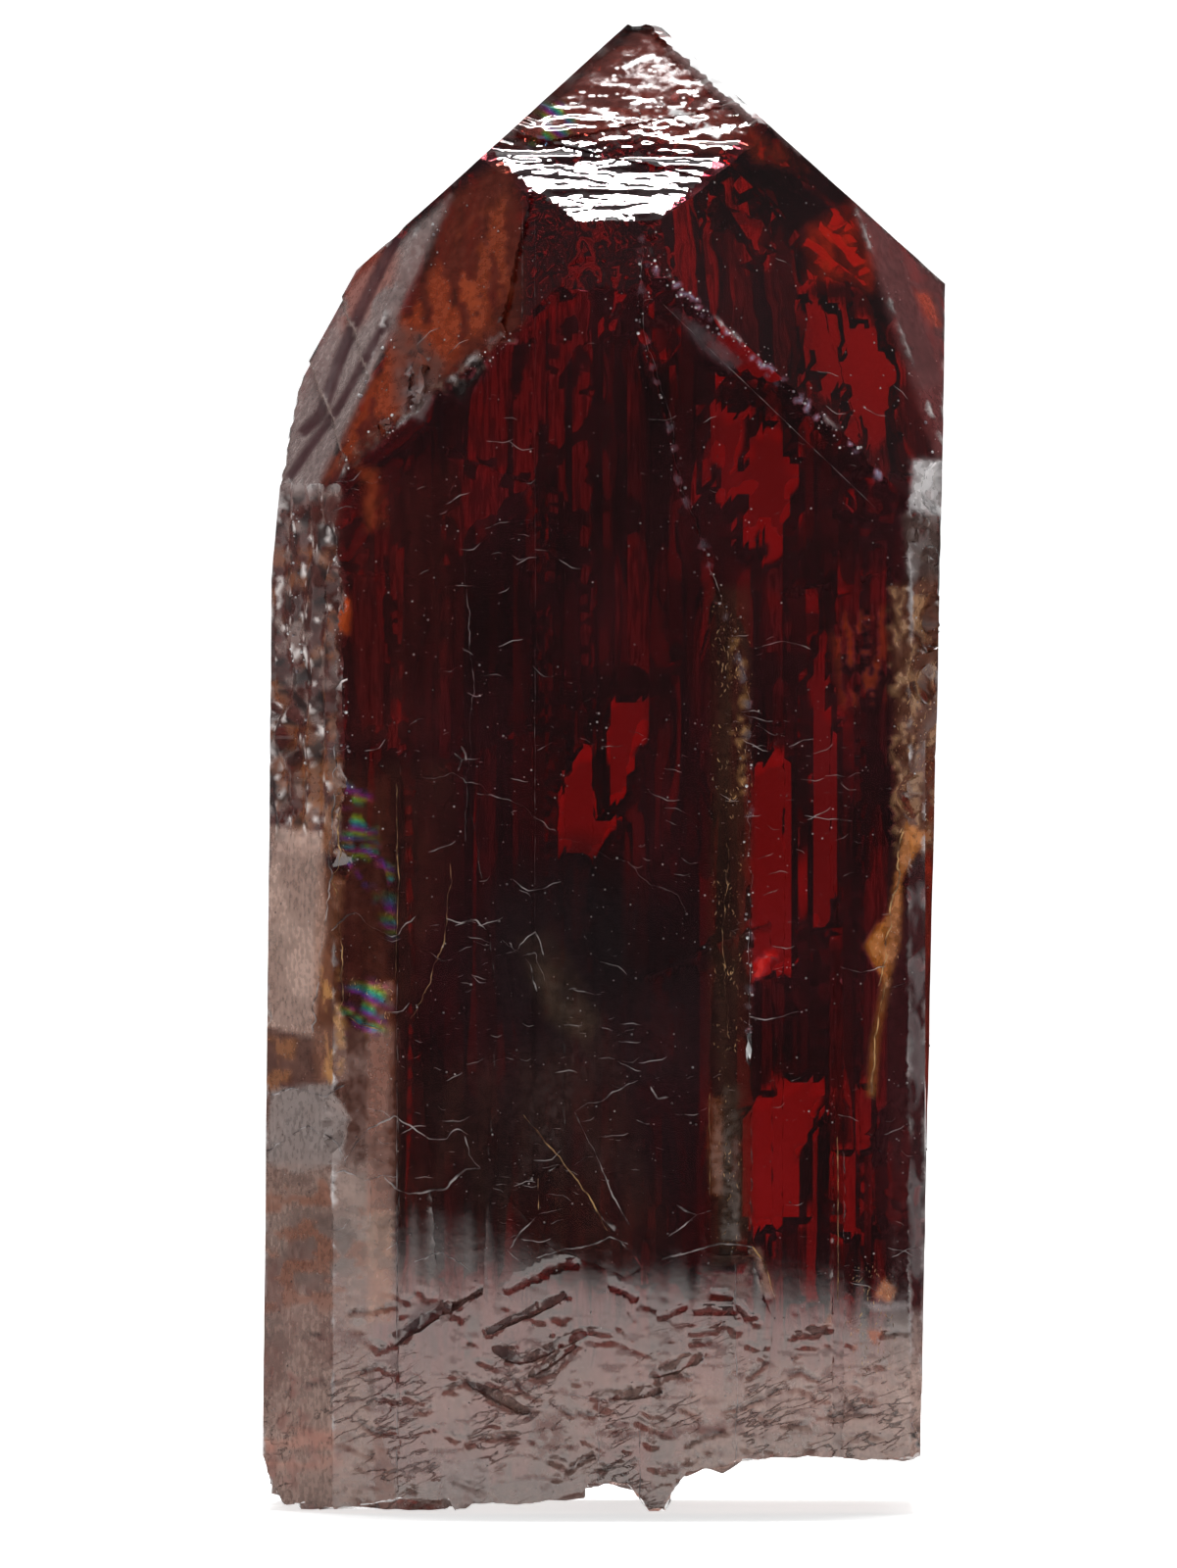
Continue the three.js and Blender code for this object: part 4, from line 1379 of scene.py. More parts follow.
# places with golden flecks
GOLDEN = [
    strip(0.9, (744, 615), (748, 720), (752, 830)),
    strip(0.6, (746, 830), (742, 1000), (746, 1280)),
    seen(*RUSTY),
    seen(*AMBER),
    box(300, 780, 345, 870),
    box(345, 1000, 400, 1060),
    box(868, 1290, 912, 1400),
]
BACK_TINT = 0xFFF0EC
UNDERSIDE_FROST = 0.5
FAINT_FROST = 0.01  # the frost of all other places


@dataclass
class Crystal:
    """The whole crystal as one closed mesh.

    Attributes:
        skin: How its surface is cut into small triangles.
        relief: How far each point lies inside the solid's flat faces.
        paint: The colour and the frost of each point.
        broad: The least area of a face whose edges are worn.
        firm: Holds a point still where its faces are almost parallel.
        most: How far a point may move, as a multiple of its greatest depth.
    """

    skin: SkinMesh
    relief: Relief
    paint: Paint
    broad: float = 6.0
    firm: float = 0.03
    most: float = 1.6

    def build(self, source: Object) -> Object:
        """Builds the crystal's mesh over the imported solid.

        Args:
            source: The CAD node.

        Returns:
            The crystal's object.
        """
        corners, faces = PackedSolid().read(source)
        points, triangles, point_of, face_of = self.skin.cut(corners, faces)
        log.info("%d faces, %d points, %d triangles", len(faces), len(points), len(triangles))
        normals = np.array([face.normal for face in faces])[face_of]
        amounts = np.zeros(len(point_of))
        sides = np.array([list(Side).index(face.side) for face in faces])[face_of]
        for number, side in enumerate(Side):
            chosen = sides == number
            amounts[chosen] = self.relief.amount(points[point_of[chosen]], side, normals[chosen])
        small = np.array([face.area < self.broad and face.side is not Side.FRONT for face in faces])[face_of]
        # the facets of chips in front that look backwards get no ribs
        amounts[small & (points[point_of][:, 1] < 0) & (normals[:, 1] > 0.01)] = 0
        amounts[small] += self.relief.chipped(points[point_of[small]])
        low, high = (np.array(corner) / MM for corner in CAD_BOX)
        flat = points
        points = np.clip(points + self.shifts(len(points), point_of, normals, amounts), low, high)
        mesh = bpy.data.meshes.new("crystal_skin")
        mesh.from_pydata((points * MM).tolist(), [], triangles.tolist())
        facing = np.zeros((len(points), 3))
        np.add.at(facing, point_of, normals)
        broad = np.array([face.area > self.broad for face in faces])[face_of]
        first = np.full(len(points), -1)
        first[point_of[broad]] = np.nonzero(broad)[0]
        turn = np.ones(len(points))
        pairs = (normals * normals[first[point_of]]).sum(1)
        np.minimum.at(turn, point_of[broad], pairs[broad])
        colours = self.paint.colours(flat, facing, 1 - turn, self.relief)
        layer = mesh.color_attributes.new("stain_and_light", "FLOAT_COLOR", "POINT")
        layer.data.foreach_set("color", colours.reshape(-1))
        for name, values in self.paint.fields(flat, facing).items():
            mesh.attributes.new(name, "FLOAT", "POINT").data.foreach_set("value", values)
        mesh.polygons.foreach_set("use_smooth", np.ones(len(triangles), bool))
        mesh.set_sharp_from_angle(angle=math.radians(SMOOTH_ANGLE))
        mesh.update()
        return add_object("crystal_skin", mesh)

    def shifts(self, count: int, point_of: Array, normals: Array, amounts: Array) -> Array:
        """Finds the move that takes each point inwards by the stated amount from each of its faces.

        Args:
            count: The number of points.
            point_of: A point's number for each pair of a point and a face.
            normals: The face's normal for each pair.
            amounts: How far the point is to lie inside that face.

        Returns:
            The move of each point.
        """
        matrix = np.tile(np.eye(3) * self.firm, (count, 1, 1))
        right = np.zeros((count, 3))
        np.add.at(matrix, point_of, normals[:, :, None] * normals[:, None, :])
        np.add.at(right, point_of, -normals * amounts[:, None])
        moves = np.linalg.solve(matrix, right[:, :, None])[:, :, 0]
        deepest = np.zeros(count)
        np.maximum.at(deepest, point_of, np.abs(amounts))
        return moves * np.minimum(1, self.most * deepest / lengths(moves))[:, None]


def add_object(name: str, data: bpy.types.ID | None) -> Object:
    """Makes an object, puts it in the scene and returns it."""
    thing = bpy.data.objects.new(name, data)
    bpy.context.scene.collection.objects.link(thing)
    return thing


class Nodes:
    """A short way to fill a node tree."""

    def __init__(self, tree: bpy.types.NodeTree) -> None:
        """Empties the tree.

        Args:
            tree: The tree to fill.
        """
        tree.nodes.clear()
        self.tree = tree

    def add(self, kind: str, inputs: dict | None = None, **settings: object) -> bpy.types.Node:
        """Adds a node.

        Args:
            kind: The node's type.
            inputs: For each input, a socket to link or a value to set.
            settings: The node's own settings.

        Returns:
            The node.
        """
        node = self.tree.nodes.new(kind)
        for name, value in settings.items():
            setattr(node, name, value)
        for name, value in (inputs or {}).items():
            if isinstance(value, Socket):
                self.tree.links.new(value, node.inputs[name])
            else:
                node.inputs[name].default_value = value
        return node

    def out(self, kind: str, inputs: dict | None = None, **settings: object) -> Socket:
        """Adds a node and returns its first output."""
        return self.add(kind, inputs, **settings).outputs[0]

    def math(self, operation: str, *values: object) -> Socket:
        """Returns the result of a sum on sockets or numbers."""
        node = self.add("ShaderNodeMath", dict(enumerate(values)), operation=operation)
        return node.outputs[0]

    def step(self, value: object, low: float, high: float, start: float = 0, end: float = 1) -> Socket:
        """Returns a soft step from start, where the value is low, to end, where it is high."""
        inputs = {"Value": value, "From Min": low, "From Max": high, "To Min": start, "To Max": end}
        return self.out("ShaderNodeMapRange", inputs, interpolation_type="SMOOTHSTEP")

    def noise(self, place: Socket, scale: float, detail: float) -> Socket:
        """Returns a noise whose lumps are as many to the metre as the scale says."""
        inputs = {"Vector": place, "Scale": scale, "Detail": detail}
        return self.add("ShaderNodeTexNoise", inputs).outputs["Fac"]

    def parts(self, place: Socket) -> bpy.types.bpy_prop_collection:
        """Returns the sockets of a vector's X, Y and Z."""
        return self.add("ShaderNodeSeparateXYZ", {"Vector": place}).outputs

    def place(self) -> Socket:
        """Returns where on its object the point of a shader lies."""
        return self.add("ShaderNodeTexCoord").outputs["Object"]

    def painted(self, name: str) -> bpy.types.bpy_prop_collection:
        """Returns the sockets of a shader that read a named layer of the mesh."""
        return self.add("ShaderNodeAttribute", attribute_type="GEOMETRY", attribute_name=name).outputs

    def field(self, name: str) -> Socket:
        """Returns a named number of each point, in a geometry tree."""
        return self.out("GeometryNodeInputNamedAttribute", {"Name": name}, data_type="FLOAT")


def new_material(name: str) -> tuple[bpy.types.Material, Nodes]:
    """Returns a new material and its emptied tree."""
    made = bpy.data.materials.new(name)
    made.use_nodes = True
    return made, Nodes(made.node_tree)


class Growth:
    """A geometry tree that is run once over a piece and leaves a plain mesh."""

    def __init__(self, name: str) -> None:
        """Makes the tree and its two geometry sockets.

        Args:
            name: The name of the tree and of the piece that it leaves.
        """
        self.name = name
        self.tree = bpy.data.node_groups.new(name, "GeometryNodeTree")
        self.nodes = Nodes(self.tree)
        self.values: dict[str, float] = {}
        for way in ("INPUT", "OUTPUT"):
            self.tree.interface.new_socket("Geometry", in_out=way, socket_type="NodeSocketGeometry")
        self.source = self.nodes.add("NodeGroupInput")

    def number(self, name: str, value: float) -> Socket:
        """Adds a named input.

        Args:
            name: The input's name.
            value: Its value, whole for a whole number.

        Returns:
            The socket to link from.
        """
        kind = "NodeSocketInt" if isinstance(value, int) else "NodeSocketFloat"
        item = self.tree.interface.new_socket(name, in_out="INPUT", socket_type=kind)
        self.values[item.identifier] = value
        return self.source.outputs[name]

    def leave(self, made: Socket, finish: bpy.types.Material, carrier: Object) -> Object:
        """Ends the tree, runs it and keeps what it makes.

        Args:
            made: The geometry that the tree makes.
            finish: The material of the new piece.
            carrier: The piece that the tree runs over.

        Returns:
            The new piece.
        """
        real = self.nodes.out("GeometryNodeRealizeInstances", {"Geometry": made})
        dressed = self.nodes.add("GeometryNodeSetMaterial", {"Geometry": real, "Material": finish})
        self.nodes.add("NodeGroupOutput", {"Geometry": dressed.outputs[0]})
        modifier = carrier.modifiers.new(self.name, "NODES")
        modifier.node_group = self.tree
        for identifier, value in self.values.items():
            modifier[identifier] = value
        graph = bpy.context.evaluated_depsgraph_get()
        mesh = bpy.data.meshes.new_from_object(carrier.evaluated_get(graph))
        carrier.modifiers.remove(modifier)
        mesh.name = self.name
        log.info("%s: %d faces", self.name, len(mesh.polygons))
        return add_object(self.name, mesh)


@dataclass
class Scatter:
    """Small closed bodies strewn over the skin, as thickly as one of its fields says.

    Attributes:
        name: The name of the piece.
        field: The name of the skin's field.
        density: The most bodies for each square millimetre.
        shortest: The least half length.
        longest: The greatest half length.
        spin: The greatest turn to either side, in radians.
        seed: The seed of the places and sizes.
    """

    name: str
    field: str
    density: float
    shortest: float
    longest: float
    spin: float
    seed: int

    def build(self, skin: Object, finish: bpy.types.Material) -> Object:
        """Strews the bodies.

        Args:
            skin: The crystal's skin.
            finish: The material of the bodies.

        Returns:
            The piece.
        """
        growth = Growth(self.name)
        nodes = growth.nodes
        density = growth.number("Density", self.density / MM**2)
        shortest = growth.number("Shortest", self.shortest * MM)
        longest = growth.number("Longest", self.longest * MM)
        seed = growth.number("Seed", self.seed)
        share = nodes.field(self.field)
        points = nodes.add(
            "GeometryNodeDistributePointsOnFaces",
            {
                "Mesh": growth.source.outputs[0],
                "Density": nodes.math("MULTIPLY", share, density),
                "Seed": seed,
            },
            distribute_method="RANDOM",
        ).outputs
        along = nodes.out("FunctionNodeAlignRotationToVector", {"Vector": points["Normal"]}, axis="Z")
        swing = nodes.out(
            "FunctionNodeRandomValue",
            {0: (0.0, 0.0, -self.spin), 1: (0.0, 0.0, self.spin), "Seed": seed},
            data_type="FLOAT_VECTOR",
        )
        turn = nodes.out("FunctionNodeEulerToRotation", {"Euler": swing})
        rotation = nodes.out(
            "FunctionNodeRotateRotation", {"Rotation": along, "Rotate By": turn}, rotation_space="LOCAL"
        )
        chance = nodes.add("FunctionNodeRandomValue", {2: 0.0, 3: 1.0, "Seed": seed}, data_type="FLOAT")
        skewed = nodes.math("POWER", chance.outputs[1], 3.0)
        sizes = {"Value": skewed, "To Min": shortest, "To Max": longest}
        size = nodes.out("ShaderNodeMapRange", sizes)
        placed = nodes.out(
            "GeometryNodeInstanceOnPoints",
            {
                "Points": points["Points"],
                "Instance": self.bodies(nodes),
                "Pick Instance": True,
                "Rotation": rotation,
                "Scale": size,
            },
        )
        return growth.leave(placed, finish, skin)

    def bodies(self, nodes: Nodes) -> Socket:
        """Returns the kinds of body to pick from."""
        ball = nodes.out("GeometryNodeMeshIcoSphere", {"Radius": 1.0, "Subdivisions": 1})
        return nodes.out("GeometryNodeGeometryToInstance", {0: ball})


@dataclass
class Slivers(Scatter):
    """Thin bent slivers, where a crack comes up to the surface.

    Attributes:
        bends: How far the ends of each kind of sliver bend to one side, as shares of its half length.
        thin: Half the width, as a share of the half length.
        upright: Whether the slivers stand upright.
    """

    bends: tuple[float, ...] = (-0.22, -0.1, 0.08, 0.2, 0.38)
    thin: float = 0.027
    upright: bool = False

    def bodies(self, nodes: Nodes) -> Socket:
        """Returns the kinds of sliver to pick from."""
        ball = nodes.out("GeometryNodeMeshUVSphere", {"Segments": 4, "Rings": 7, "Radius": 1.0})
        parts = nodes.parts(nodes.out("GeometryNodeInputPosition"))
        ends = nodes.math("POWER", nodes.math("ABSOLUTE", parts["Z"]), 2.0)
        joined = nodes.add("GeometryNodeJoinGeometry")
        for number, bend in enumerate(self.bends):
            wave = nodes.math("SINE", nodes.math("MULTIPLY_ADD", parts["Z"], 5.0, float(number)))
            aside = nodes.math("MULTIPLY_ADD", ends, bend, nodes.math("MULTIPLY", wave, 0.05))
            across = nodes.math("MULTIPLY_ADD", parts["X"], self.thin, aside)
            out = nodes.math("MULTIPLY", parts["Y"], self.thin * 0.6)
            ways = {"Y": parts["Z"], "X": across} if self.upright else {"X": parts["Z"], "Y": across}
            place = nodes.out("ShaderNodeCombineXYZ", ways | {"Z": out})
            bent = nodes.out("GeometryNodeSetPosition", {"Geometry": ball, "Position": place})
            kind = nodes.out("GeometryNodeGeometryToInstance", {0: bent})
            nodes.tree.links.new(kind, joined.inputs[0])
        return joined.outputs[0]


@dataclass(frozen=True)
class Vein:
    """A healed crack that is drawn along the front.

    Attributes:
        line: Its corners as the viewer sees them, X and Z.
        half: Half its greatest width.
        wander: How far it strays from the drawn line.
        gaps: How much of it is missing, from 0 to 1.
    """

    line: Outline
    half: float = 0.03
    wander: float = 0.05
    gaps: float = 0.4


@dataclass
class Veins:
    """Drawn veins that lie on the skin.

    Attributes:
        name: The name of the piece.
        veins: The veins.
        step: The distance between the corners of a vein.
        seed: The seed of their wandering.
        slim: The share of the drawn width that is kept.
    """

    name: str
    veins: list[Vein]
    step: float = 0.07
    seed: int = 17
    slim: float = 0.55

    def build(self, skin: Object, finish: bpy.types.Material) -> Object:
        """Lays the veins on the skin and gives them their round section.

        Args:
            skin: The crystal's skin.
            finish: The material of the veins.

        Returns:
            The piece.
        """
        mesh = skin.data
        faces = [tuple(face.vertices) for face in mesh.polygons]
        tree = bvhtree.BVHTree.FromPolygons([point.co for point in mesh.vertices], faces)
        points, links, widths = [], [], []
        grain = Grain(self.seed)
        for number, vein in enumerate(self.veins):
            last = None
            for x, z, width in self.along(vein, grain, number):
                hit = tree.ray_cast(Vector((x * MM, -0.05, z * MM)), Vector((0, 1, 0)))[0]
                if hit is None:
                    last = None
                    continue
                points.append(hit)
                widths.append(width * MM)
                if last is not None:
                    links.append((last, len(points) - 1))
                last = len(points) - 1
        drawn = bpy.data.meshes.new(self.name + "_line")
        drawn.from_pydata(points, links, [])
        drawn.attributes.new("half", "FLOAT", "POINT").data.foreach_set("value", widths)
        carrier = add_object(self.name + "_line", drawn)
        growth = Growth(self.name)
        nodes = growth.nodes
        sides = growth.number("Sides", 5)
        half = nodes.field("half")
        curve = nodes.out("GeometryNodeMeshToCurve", {"Mesh": growth.source.outputs[0]})
        sized = nodes.out("GeometryNodeSetCurveRadius", {"Curve": curve, "Radius": half})
        ring = nodes.out("GeometryNodeCurvePrimitiveCircle", {"Resolution": sides, "Radius": 1.0})
        inputs = {"Curve": sized, "Profile Curve": ring, "Fill Caps": True, "Scale": half}
        tube = nodes.out("GeometryNodeCurveToMesh", inputs)
        piece = growth.leave(tube, finish, carrier)
        bpy.data.objects.remove(carrier)
        return piece

    def along(self, vein: Vein, grain: Grain, number: int) -> list[tuple[float, float, float]]:
        """Walks along a vein.

        Args:
            vein: The vein.
            grain: The source of the wandering.
            number: The vein's number.

        Returns:
            X, Z and half the width at each step.
        """
        line = np.array(vein.line)
        runs = np.linalg.norm(np.diff(line, axis=0), axis=1)
        reach = np.concatenate([[0], np.cumsum(runs)])
        at = np.arange(0, reach[-1], self.step)
        x, z = np.interp(at, reach, line[:, 0]), np.interp(at, reach, line[:, 1])
        key = np.stack([x, z, np.full(len(at), number * 3.7)], 1)
        x = x + vein.wander * (grain.layered(key + 11, 0.7, 2) + 0.5 * grain.layered(key + 31, 0.2, 2))
        z = z + vein.wander * (grain.layered(key + 23, 0.7, 2) + 0.5 * grain.layered(key + 43, 0.2, 2))
        share = ease(grain.layered(key, 0.5, 2), 1.4 * vein.gaps - 1, 1.4 * vein.gaps - 0.2)
        half = vein.half * self.slim
        width = half * np.maximum(0.12, share * (0.35 + 1.1 * grain.at(key + 5, 0.2)))
        width[[0, -1]] = half * 0.1
        return list(zip(x.tolist(), z.tolist(), width.tolist()))


# healed cracks with a pale and with a golden filling
PALE_VEINS = [
    Vein(seen(*CONTACT), 0.013, 0.08, 0.6),
    Vein(seen((676, 310), (895, 520)), 0.007, 0.005, 0.3),
    Vein(seen((533, 200), (533, 335)), 0.015, 0.01, 0.5),
    Vein(seen((345, 760), (338, 860), (330, 960), (318, 1060)), 0.04, 0.1, 0.3),
    Vein(seen((338, 950), (365, 930), (382, 945), (405, 955), (425, 935)), 0.035, 0.1, 0.4),
    Vein(
        seen(
            (350, 1185), (360, 1172), (374, 1154), (401, 1140), (423, 1151), (436, 1162), (452, 1162),
            (464, 1152), (476, 1160),
        ),
        0.04, 0.06, 0.2,
    ),
    Vein(
        seen(
            (476, 1160), (480, 1179), (492, 1191), (476, 1191), (464, 1201), (454, 1213), (433, 1216),
            (415, 1220), (403, 1215), (391, 1198),
        ),
        0.045, 0.06, 0.2,
    ),
    Vein(seen((391, 1198), (374, 1203), (350, 1195), (338, 1199)), 0.04, 0.06, 0.3),
    Vein(seen((376, 1203), (379, 1224), (377, 1254), (356, 1260), (338, 1266)), 0.03, 0.04, 0.3),
    Vein(seen((272, 1180), (290, 1165), (315, 1150), (345, 1165), (355, 1190)), 0.035, 0.08, 0.4),
    Vein(seen((275, 1120), (300, 1112), (330, 1118), (352, 1105)), 0.04, 0.08, 0.4),
    Vein(seen((675, 1286), (712, 1274), (735, 1268), (769, 1272)), 0.04, 0.04, 0.1),
    Vein(seen((586, 1135), (598, 1125), (614, 1123), (631, 1112), (651, 1102)), 0.035, 0.06, 0.3),
    Vein(seen((520, 1274), (533, 1255), (551, 1239), (576, 1233)), 0.04, 0.06, 0.3),
    Vein(seen((547, 1284), (577, 1274), (602, 1270), (622, 1261), (643, 1270)), 0.035, 0.06, 0.2),
    Vein(seen((586, 1135), (606, 1174), (614, 1196), (624, 1223), (643, 1251)), 0.03, 0.05, 0.3),
    Vein(seen((682, 1262), (700, 1250), (714, 1238), (728, 1236)), 0.035, 0.06, 0.2),
    Vein(seen((764, 1037), (780, 1041), (797, 1038), (817, 1032)), 0.035, 0.03, 0.1),
    Vein(seen((820, 832), (845, 836), (872, 838)), 0.03, 0.04, 0.2),
    Vein(seen((455, 935), (470, 942), (485, 938), (498, 950)), 0.04, 0.08, 0.3),
    Vein(seen((510, 960), (528, 975), (545, 970), (556, 1000)), 0.03, 0.1, 0.4),
    Vein(seen((640, 880), (665, 905), (690, 915), (700, 935)), 0.025, 0.08, 0.4),
    Vein(seen((430, 790), (470, 795), (520, 815), (570, 850), (640, 880)), 0.012, 0.1, 0.5),
    Vein(seen((462, 768), (470, 775), (466, 788)), 0.05, 0.05, 0.2),
    Vein(seen((470, 762), (478, 778)), 0.04, 0.05, 0.2),
    Vein(seen((520, 962), (540, 985), (550, 1015)), 0.03, 0.1, 0.4),
    Vein(seen((505, 975), (530, 965), (548, 950), (556, 975)), 0.03, 0.1, 0.4),
    Vein(seen((690, 1230), (700, 1236), (712, 1240)), 0.04, 0.05, 0.3),
    Vein(seen((665, 1110), (670, 1122), (683, 1120)), 0.04, 0.05, 0.3),
    Vein(seen((420, 1290), (450, 1280), (480, 1295)), 0.025, 0.1, 0.4),
    Vein(seen((858, 985), (880, 992), (905, 985)), 0.025, 0.05, 0.3),
    Vein(seen((770, 660), (800, 655), (830, 662)), 0.02, 0.05, 0.3),
    Vein(seen((546, 210), (546, 960)), 0.011, 0.01, 0.75),
    Vein(seen((474, 560), (482, 690), (474, 860)), 0.011, 0.08, 0.6),
    Vein(seen((611, 1430), (611, 1545)), 0.025, 0.01, 0.2),
    Vein(seen((653, 1450), (653, 1545)), 0.03, 0.02, 0.2),
    Vein(seen((750, 1290), (752, 1400), (750, 1530)), 0.025, 0.03, 0.3),
    Vein(seen((405, 1000), (405, 1260), (405, 1500)), 0.02, 0.01, 0.2),
]
GOLD_VEINS = [
    Vein(seen((742, 860), (738, 960), (742, 1060)), 0.02, 0.1, 0.6),
    Vein(seen((724, 1115), (724, 1222)), 0.015, 0.02, 0.3),
    Vein(seen((769, 1272), (780, 1290), (790, 1325)), 0.05, 0.04, 0.2),
    Vein(seen((855, 1160), (855, 1330)), 0.035, 0.02, 0.2),
    Vein(seen((905, 1000), (893, 1060), (889, 1120)), 0.035, 0.05, 0.2),
    Vein(seen((924, 838), (915, 900), (905, 960), (897, 1005)), 0.05, 0.1, 0.2),
    Vein(seen((535, 1137), (561, 1170), (582, 1194), (602, 1221), (620, 1257)), 0.035, 0.05, 0.3),
    Vein(seen((549, 1200), (550, 1235)), 0.03, 0.03, 0.3),
    Vein(seen((350, 1035), (370, 1045), (392, 1050)), 0.05, 0.06, 0.2),
    Vein(seen((348, 800), (344, 900), (350, 1000), (352, 1060)), 0.045, 0.12, 0.4),
    Vein(seen((420, 1040), (440, 1000), (458, 940), (460, 880)), 0.02, 0.08, 0.4),
    Vein(seen((404, 800), (406, 900), (404, 1000)), 0.025, 0.03, 0.4),
]


@dataclass(frozen=True)
class FrostedFill:
    """The pale or golden stuff in cracks and specks.

    Attributes:
        name: The material's name.
        dull: The code of its darker colour.
        bright: The code of its lighter colour.
        clear: How far light passes through it.
        grain: How fine its grain is, as lumps for each metre.
        bump: The height of the grain in metres.
    """

    name: str
    dull: int
    bright: int
    clear: float = 0.35
    grain: float = 2500.0
    bump: float = 0.00002

    def material(self) -> bpy.types.Material:
        """Returns the material."""
        made, nodes = new_material(self.name)
        place = nodes.place()
        grain = nodes.noise(place, self.grain, 4.0)
        share = nodes.step(grain, 0.4, 0.62)
        colour = nodes.add(
            "ShaderNodeMix",
            {0: share, 6: (*colour_of(self.dull), 1.0), 7: (*colour_of(self.bright), 1.0)},
            data_type="RGBA",
        ).outputs[2]
        bump = nodes.add("ShaderNodeBump", {"Height": grain, "Strength": 0.2, "Distance": self.bump})
        shader = nodes.add(
            "ShaderNodeBsdfPrincipled",
            {
                "Base Color": colour,
                "Roughness": nodes.step(grain, 0.3, 0.7, 0.25, 0.55),
                "IOR": 1.6,
                "Transmission Weight": self.clear,
                "Normal": bump.outputs["Normal"],
            },
        )
        nodes.add("ShaderNodeOutputMaterial", {"Surface": shader.outputs[0]})
        return made


@dataclass(frozen=True)
class ZirconGlass:
    """The see-through red body.

    Attributes:
        ior: How strongly it bends light.
        density: How strongly it takes up light, for each metre.
        tint: The share of each colour that is spared.
        roughness: The least roughness of its surface.
        grain: How fine the frost's grain is, as lumps for each metre.
        fibre: How fine its upright fibres are.
        groove: How close the etched grooves lie.
        spread: How close their groups lie.
        grain_bump: The height of the grain in metres.
        groove_bump: The depth of the grooves in metres.
    """

    ior: float = IOR
    density: float = 985.0
    tint: tuple[float, float, float] = (0.842, 0.391, 0.043)
    roughness: float = 0.015
    grain: float = 5000.0
    fibre: float = 9000.0
    groove: float = 900.0
    spread: float = 700.0
    grain_bump: float = 0.00005
    groove_bump: float = 0.00003

    def grooves(self, nodes: Nodes, place: Socket) -> Socket:
        """Draws short slanting grooves where the skin is etched.

        Args:
            nodes: The material's nodes.
            place: Where on the piece the point lies.

        Returns:
            1 in a groove, 0 outside.
        """
        slant = nodes.out(
            "ShaderNodeMapping",
            {"Vector": place, "Rotation": (0.0, -0.38, 0.0), "Scale": (1.0, 1.0, 0.28)},
            vector_type="TEXTURE",
        )
        lines = nodes.noise(slant, self.groove, 3.0)
        away = nodes.math("ABSOLUTE", nodes.math("SUBTRACT", lines, 0.5))
        thin = nodes.step(away, 0.006, 0.03, 1.0, 0.0)
        spread = nodes.noise(place, self.spread, 1.0)
        etched = nodes.painted("etched")["Fac"]
        broken = nodes.math("MULTIPLY", thin, nodes.step(spread, 0.48, 0.6))
        return nodes.math("MULTIPLY", broken, etched)

    def material(self) -> bpy.types.Material:
        """Returns the material."""
        made, nodes = new_material("zircon_glass")
        place = nodes.place()
        stain_and_light = nodes.painted("stain_and_light")
        grain = nodes.noise(place, self.grain, 5.0)
        drawn = nodes.out("ShaderNodeMapping", {"Vector": place, "Scale": (1.0, 1.0, 0.12)})
        fibre = nodes.noise(drawn, self.fibre, 3.0)
        grainy = nodes.step(grain, 0.35, 0.65, 0.8, 1.2)
        uneven = nodes.math("MULTIPLY", grainy, nodes.step(fibre, 0.3, 0.7, 0.92, 1.08))
        frost = nodes.math("MINIMUM", nodes.math("MULTIPLY", stain_and_light["Alpha"], uneven), 1.0)
        rough = nodes.step(frost, 0.05, 0.8, self.roughness, 0.3)
        red = nodes.out("ShaderNodeSeparateColor", {"Color": stain_and_light["Color"]})
        deep = nodes.step(nodes.parts(place)["Y"], -0.001, 0.001)
        streaky = nodes.math("MULTIPLY", nodes.step(red, 0.25, 0.6, 1.0, 0.0), deep)
        threads = nodes.step(fibre, 0.4, 0.6, 0.25, 1.6)
        shade = nodes.math("ADD", 1.0, nodes.math("MULTIPLY", streaky, nodes.math("SUBTRACT", threads, 1.0)))
        tint = nodes.add("ShaderNodeVectorMath", {0: stain_and_light["Color"], "Scale": shade}, operation="SCALE")
        strength = nodes.step(frost, 0.04, 0.5, 0.004, 0.035)
        bump = nodes.add(
            "ShaderNodeBump", {"Height": grain, "Strength": strength, "Distance": self.grain_bump}
        )
        groove = self.grooves(nodes, place)
        bump = nodes.add(
            "ShaderNodeBump",
            {
                "Height": groove,
                "Strength": 0.4,
                "Distance": self.groove_bump,
                "Normal": bump.outputs["Normal"],
            },
            invert=True,
        )
        frost = nodes.math("MULTIPLY", frost, nodes.math("MULTIPLY_ADD", groove, -0.7, 1.0))
        shader = nodes.add(
            "ShaderNodeBsdfPrincipled",
            {
                "Base Color": tint.outputs[0],
                "Roughness": rough,
                "IOR": self.ior,
                "Transmission Weight": nodes.math("SUBTRACT", 1.0, frost),
                "Normal": bump.outputs["Normal"],
            },
        )
        body = nodes.add("ShaderNodeVolumeAbsorption", {"Color": (*self.tint, 1.0), "Density": self.density})
        nodes.add("ShaderNodeOutputMaterial", {"Surface": shader.outputs[0], "Volume": body.outputs[0]})
        return made


@dataclass(frozen=True)
class Dim:
    """A dim place of the room.

    Attributes:
        way: The direction of its middle.
        inner: The angle from its middle where it begins to brighten, in degrees.
        outer: The angle where it ends.
        drop: How much darker its middle is.
    """

    way: tuple[float, float, float]
    inner: float
    outer: float
    drop: float


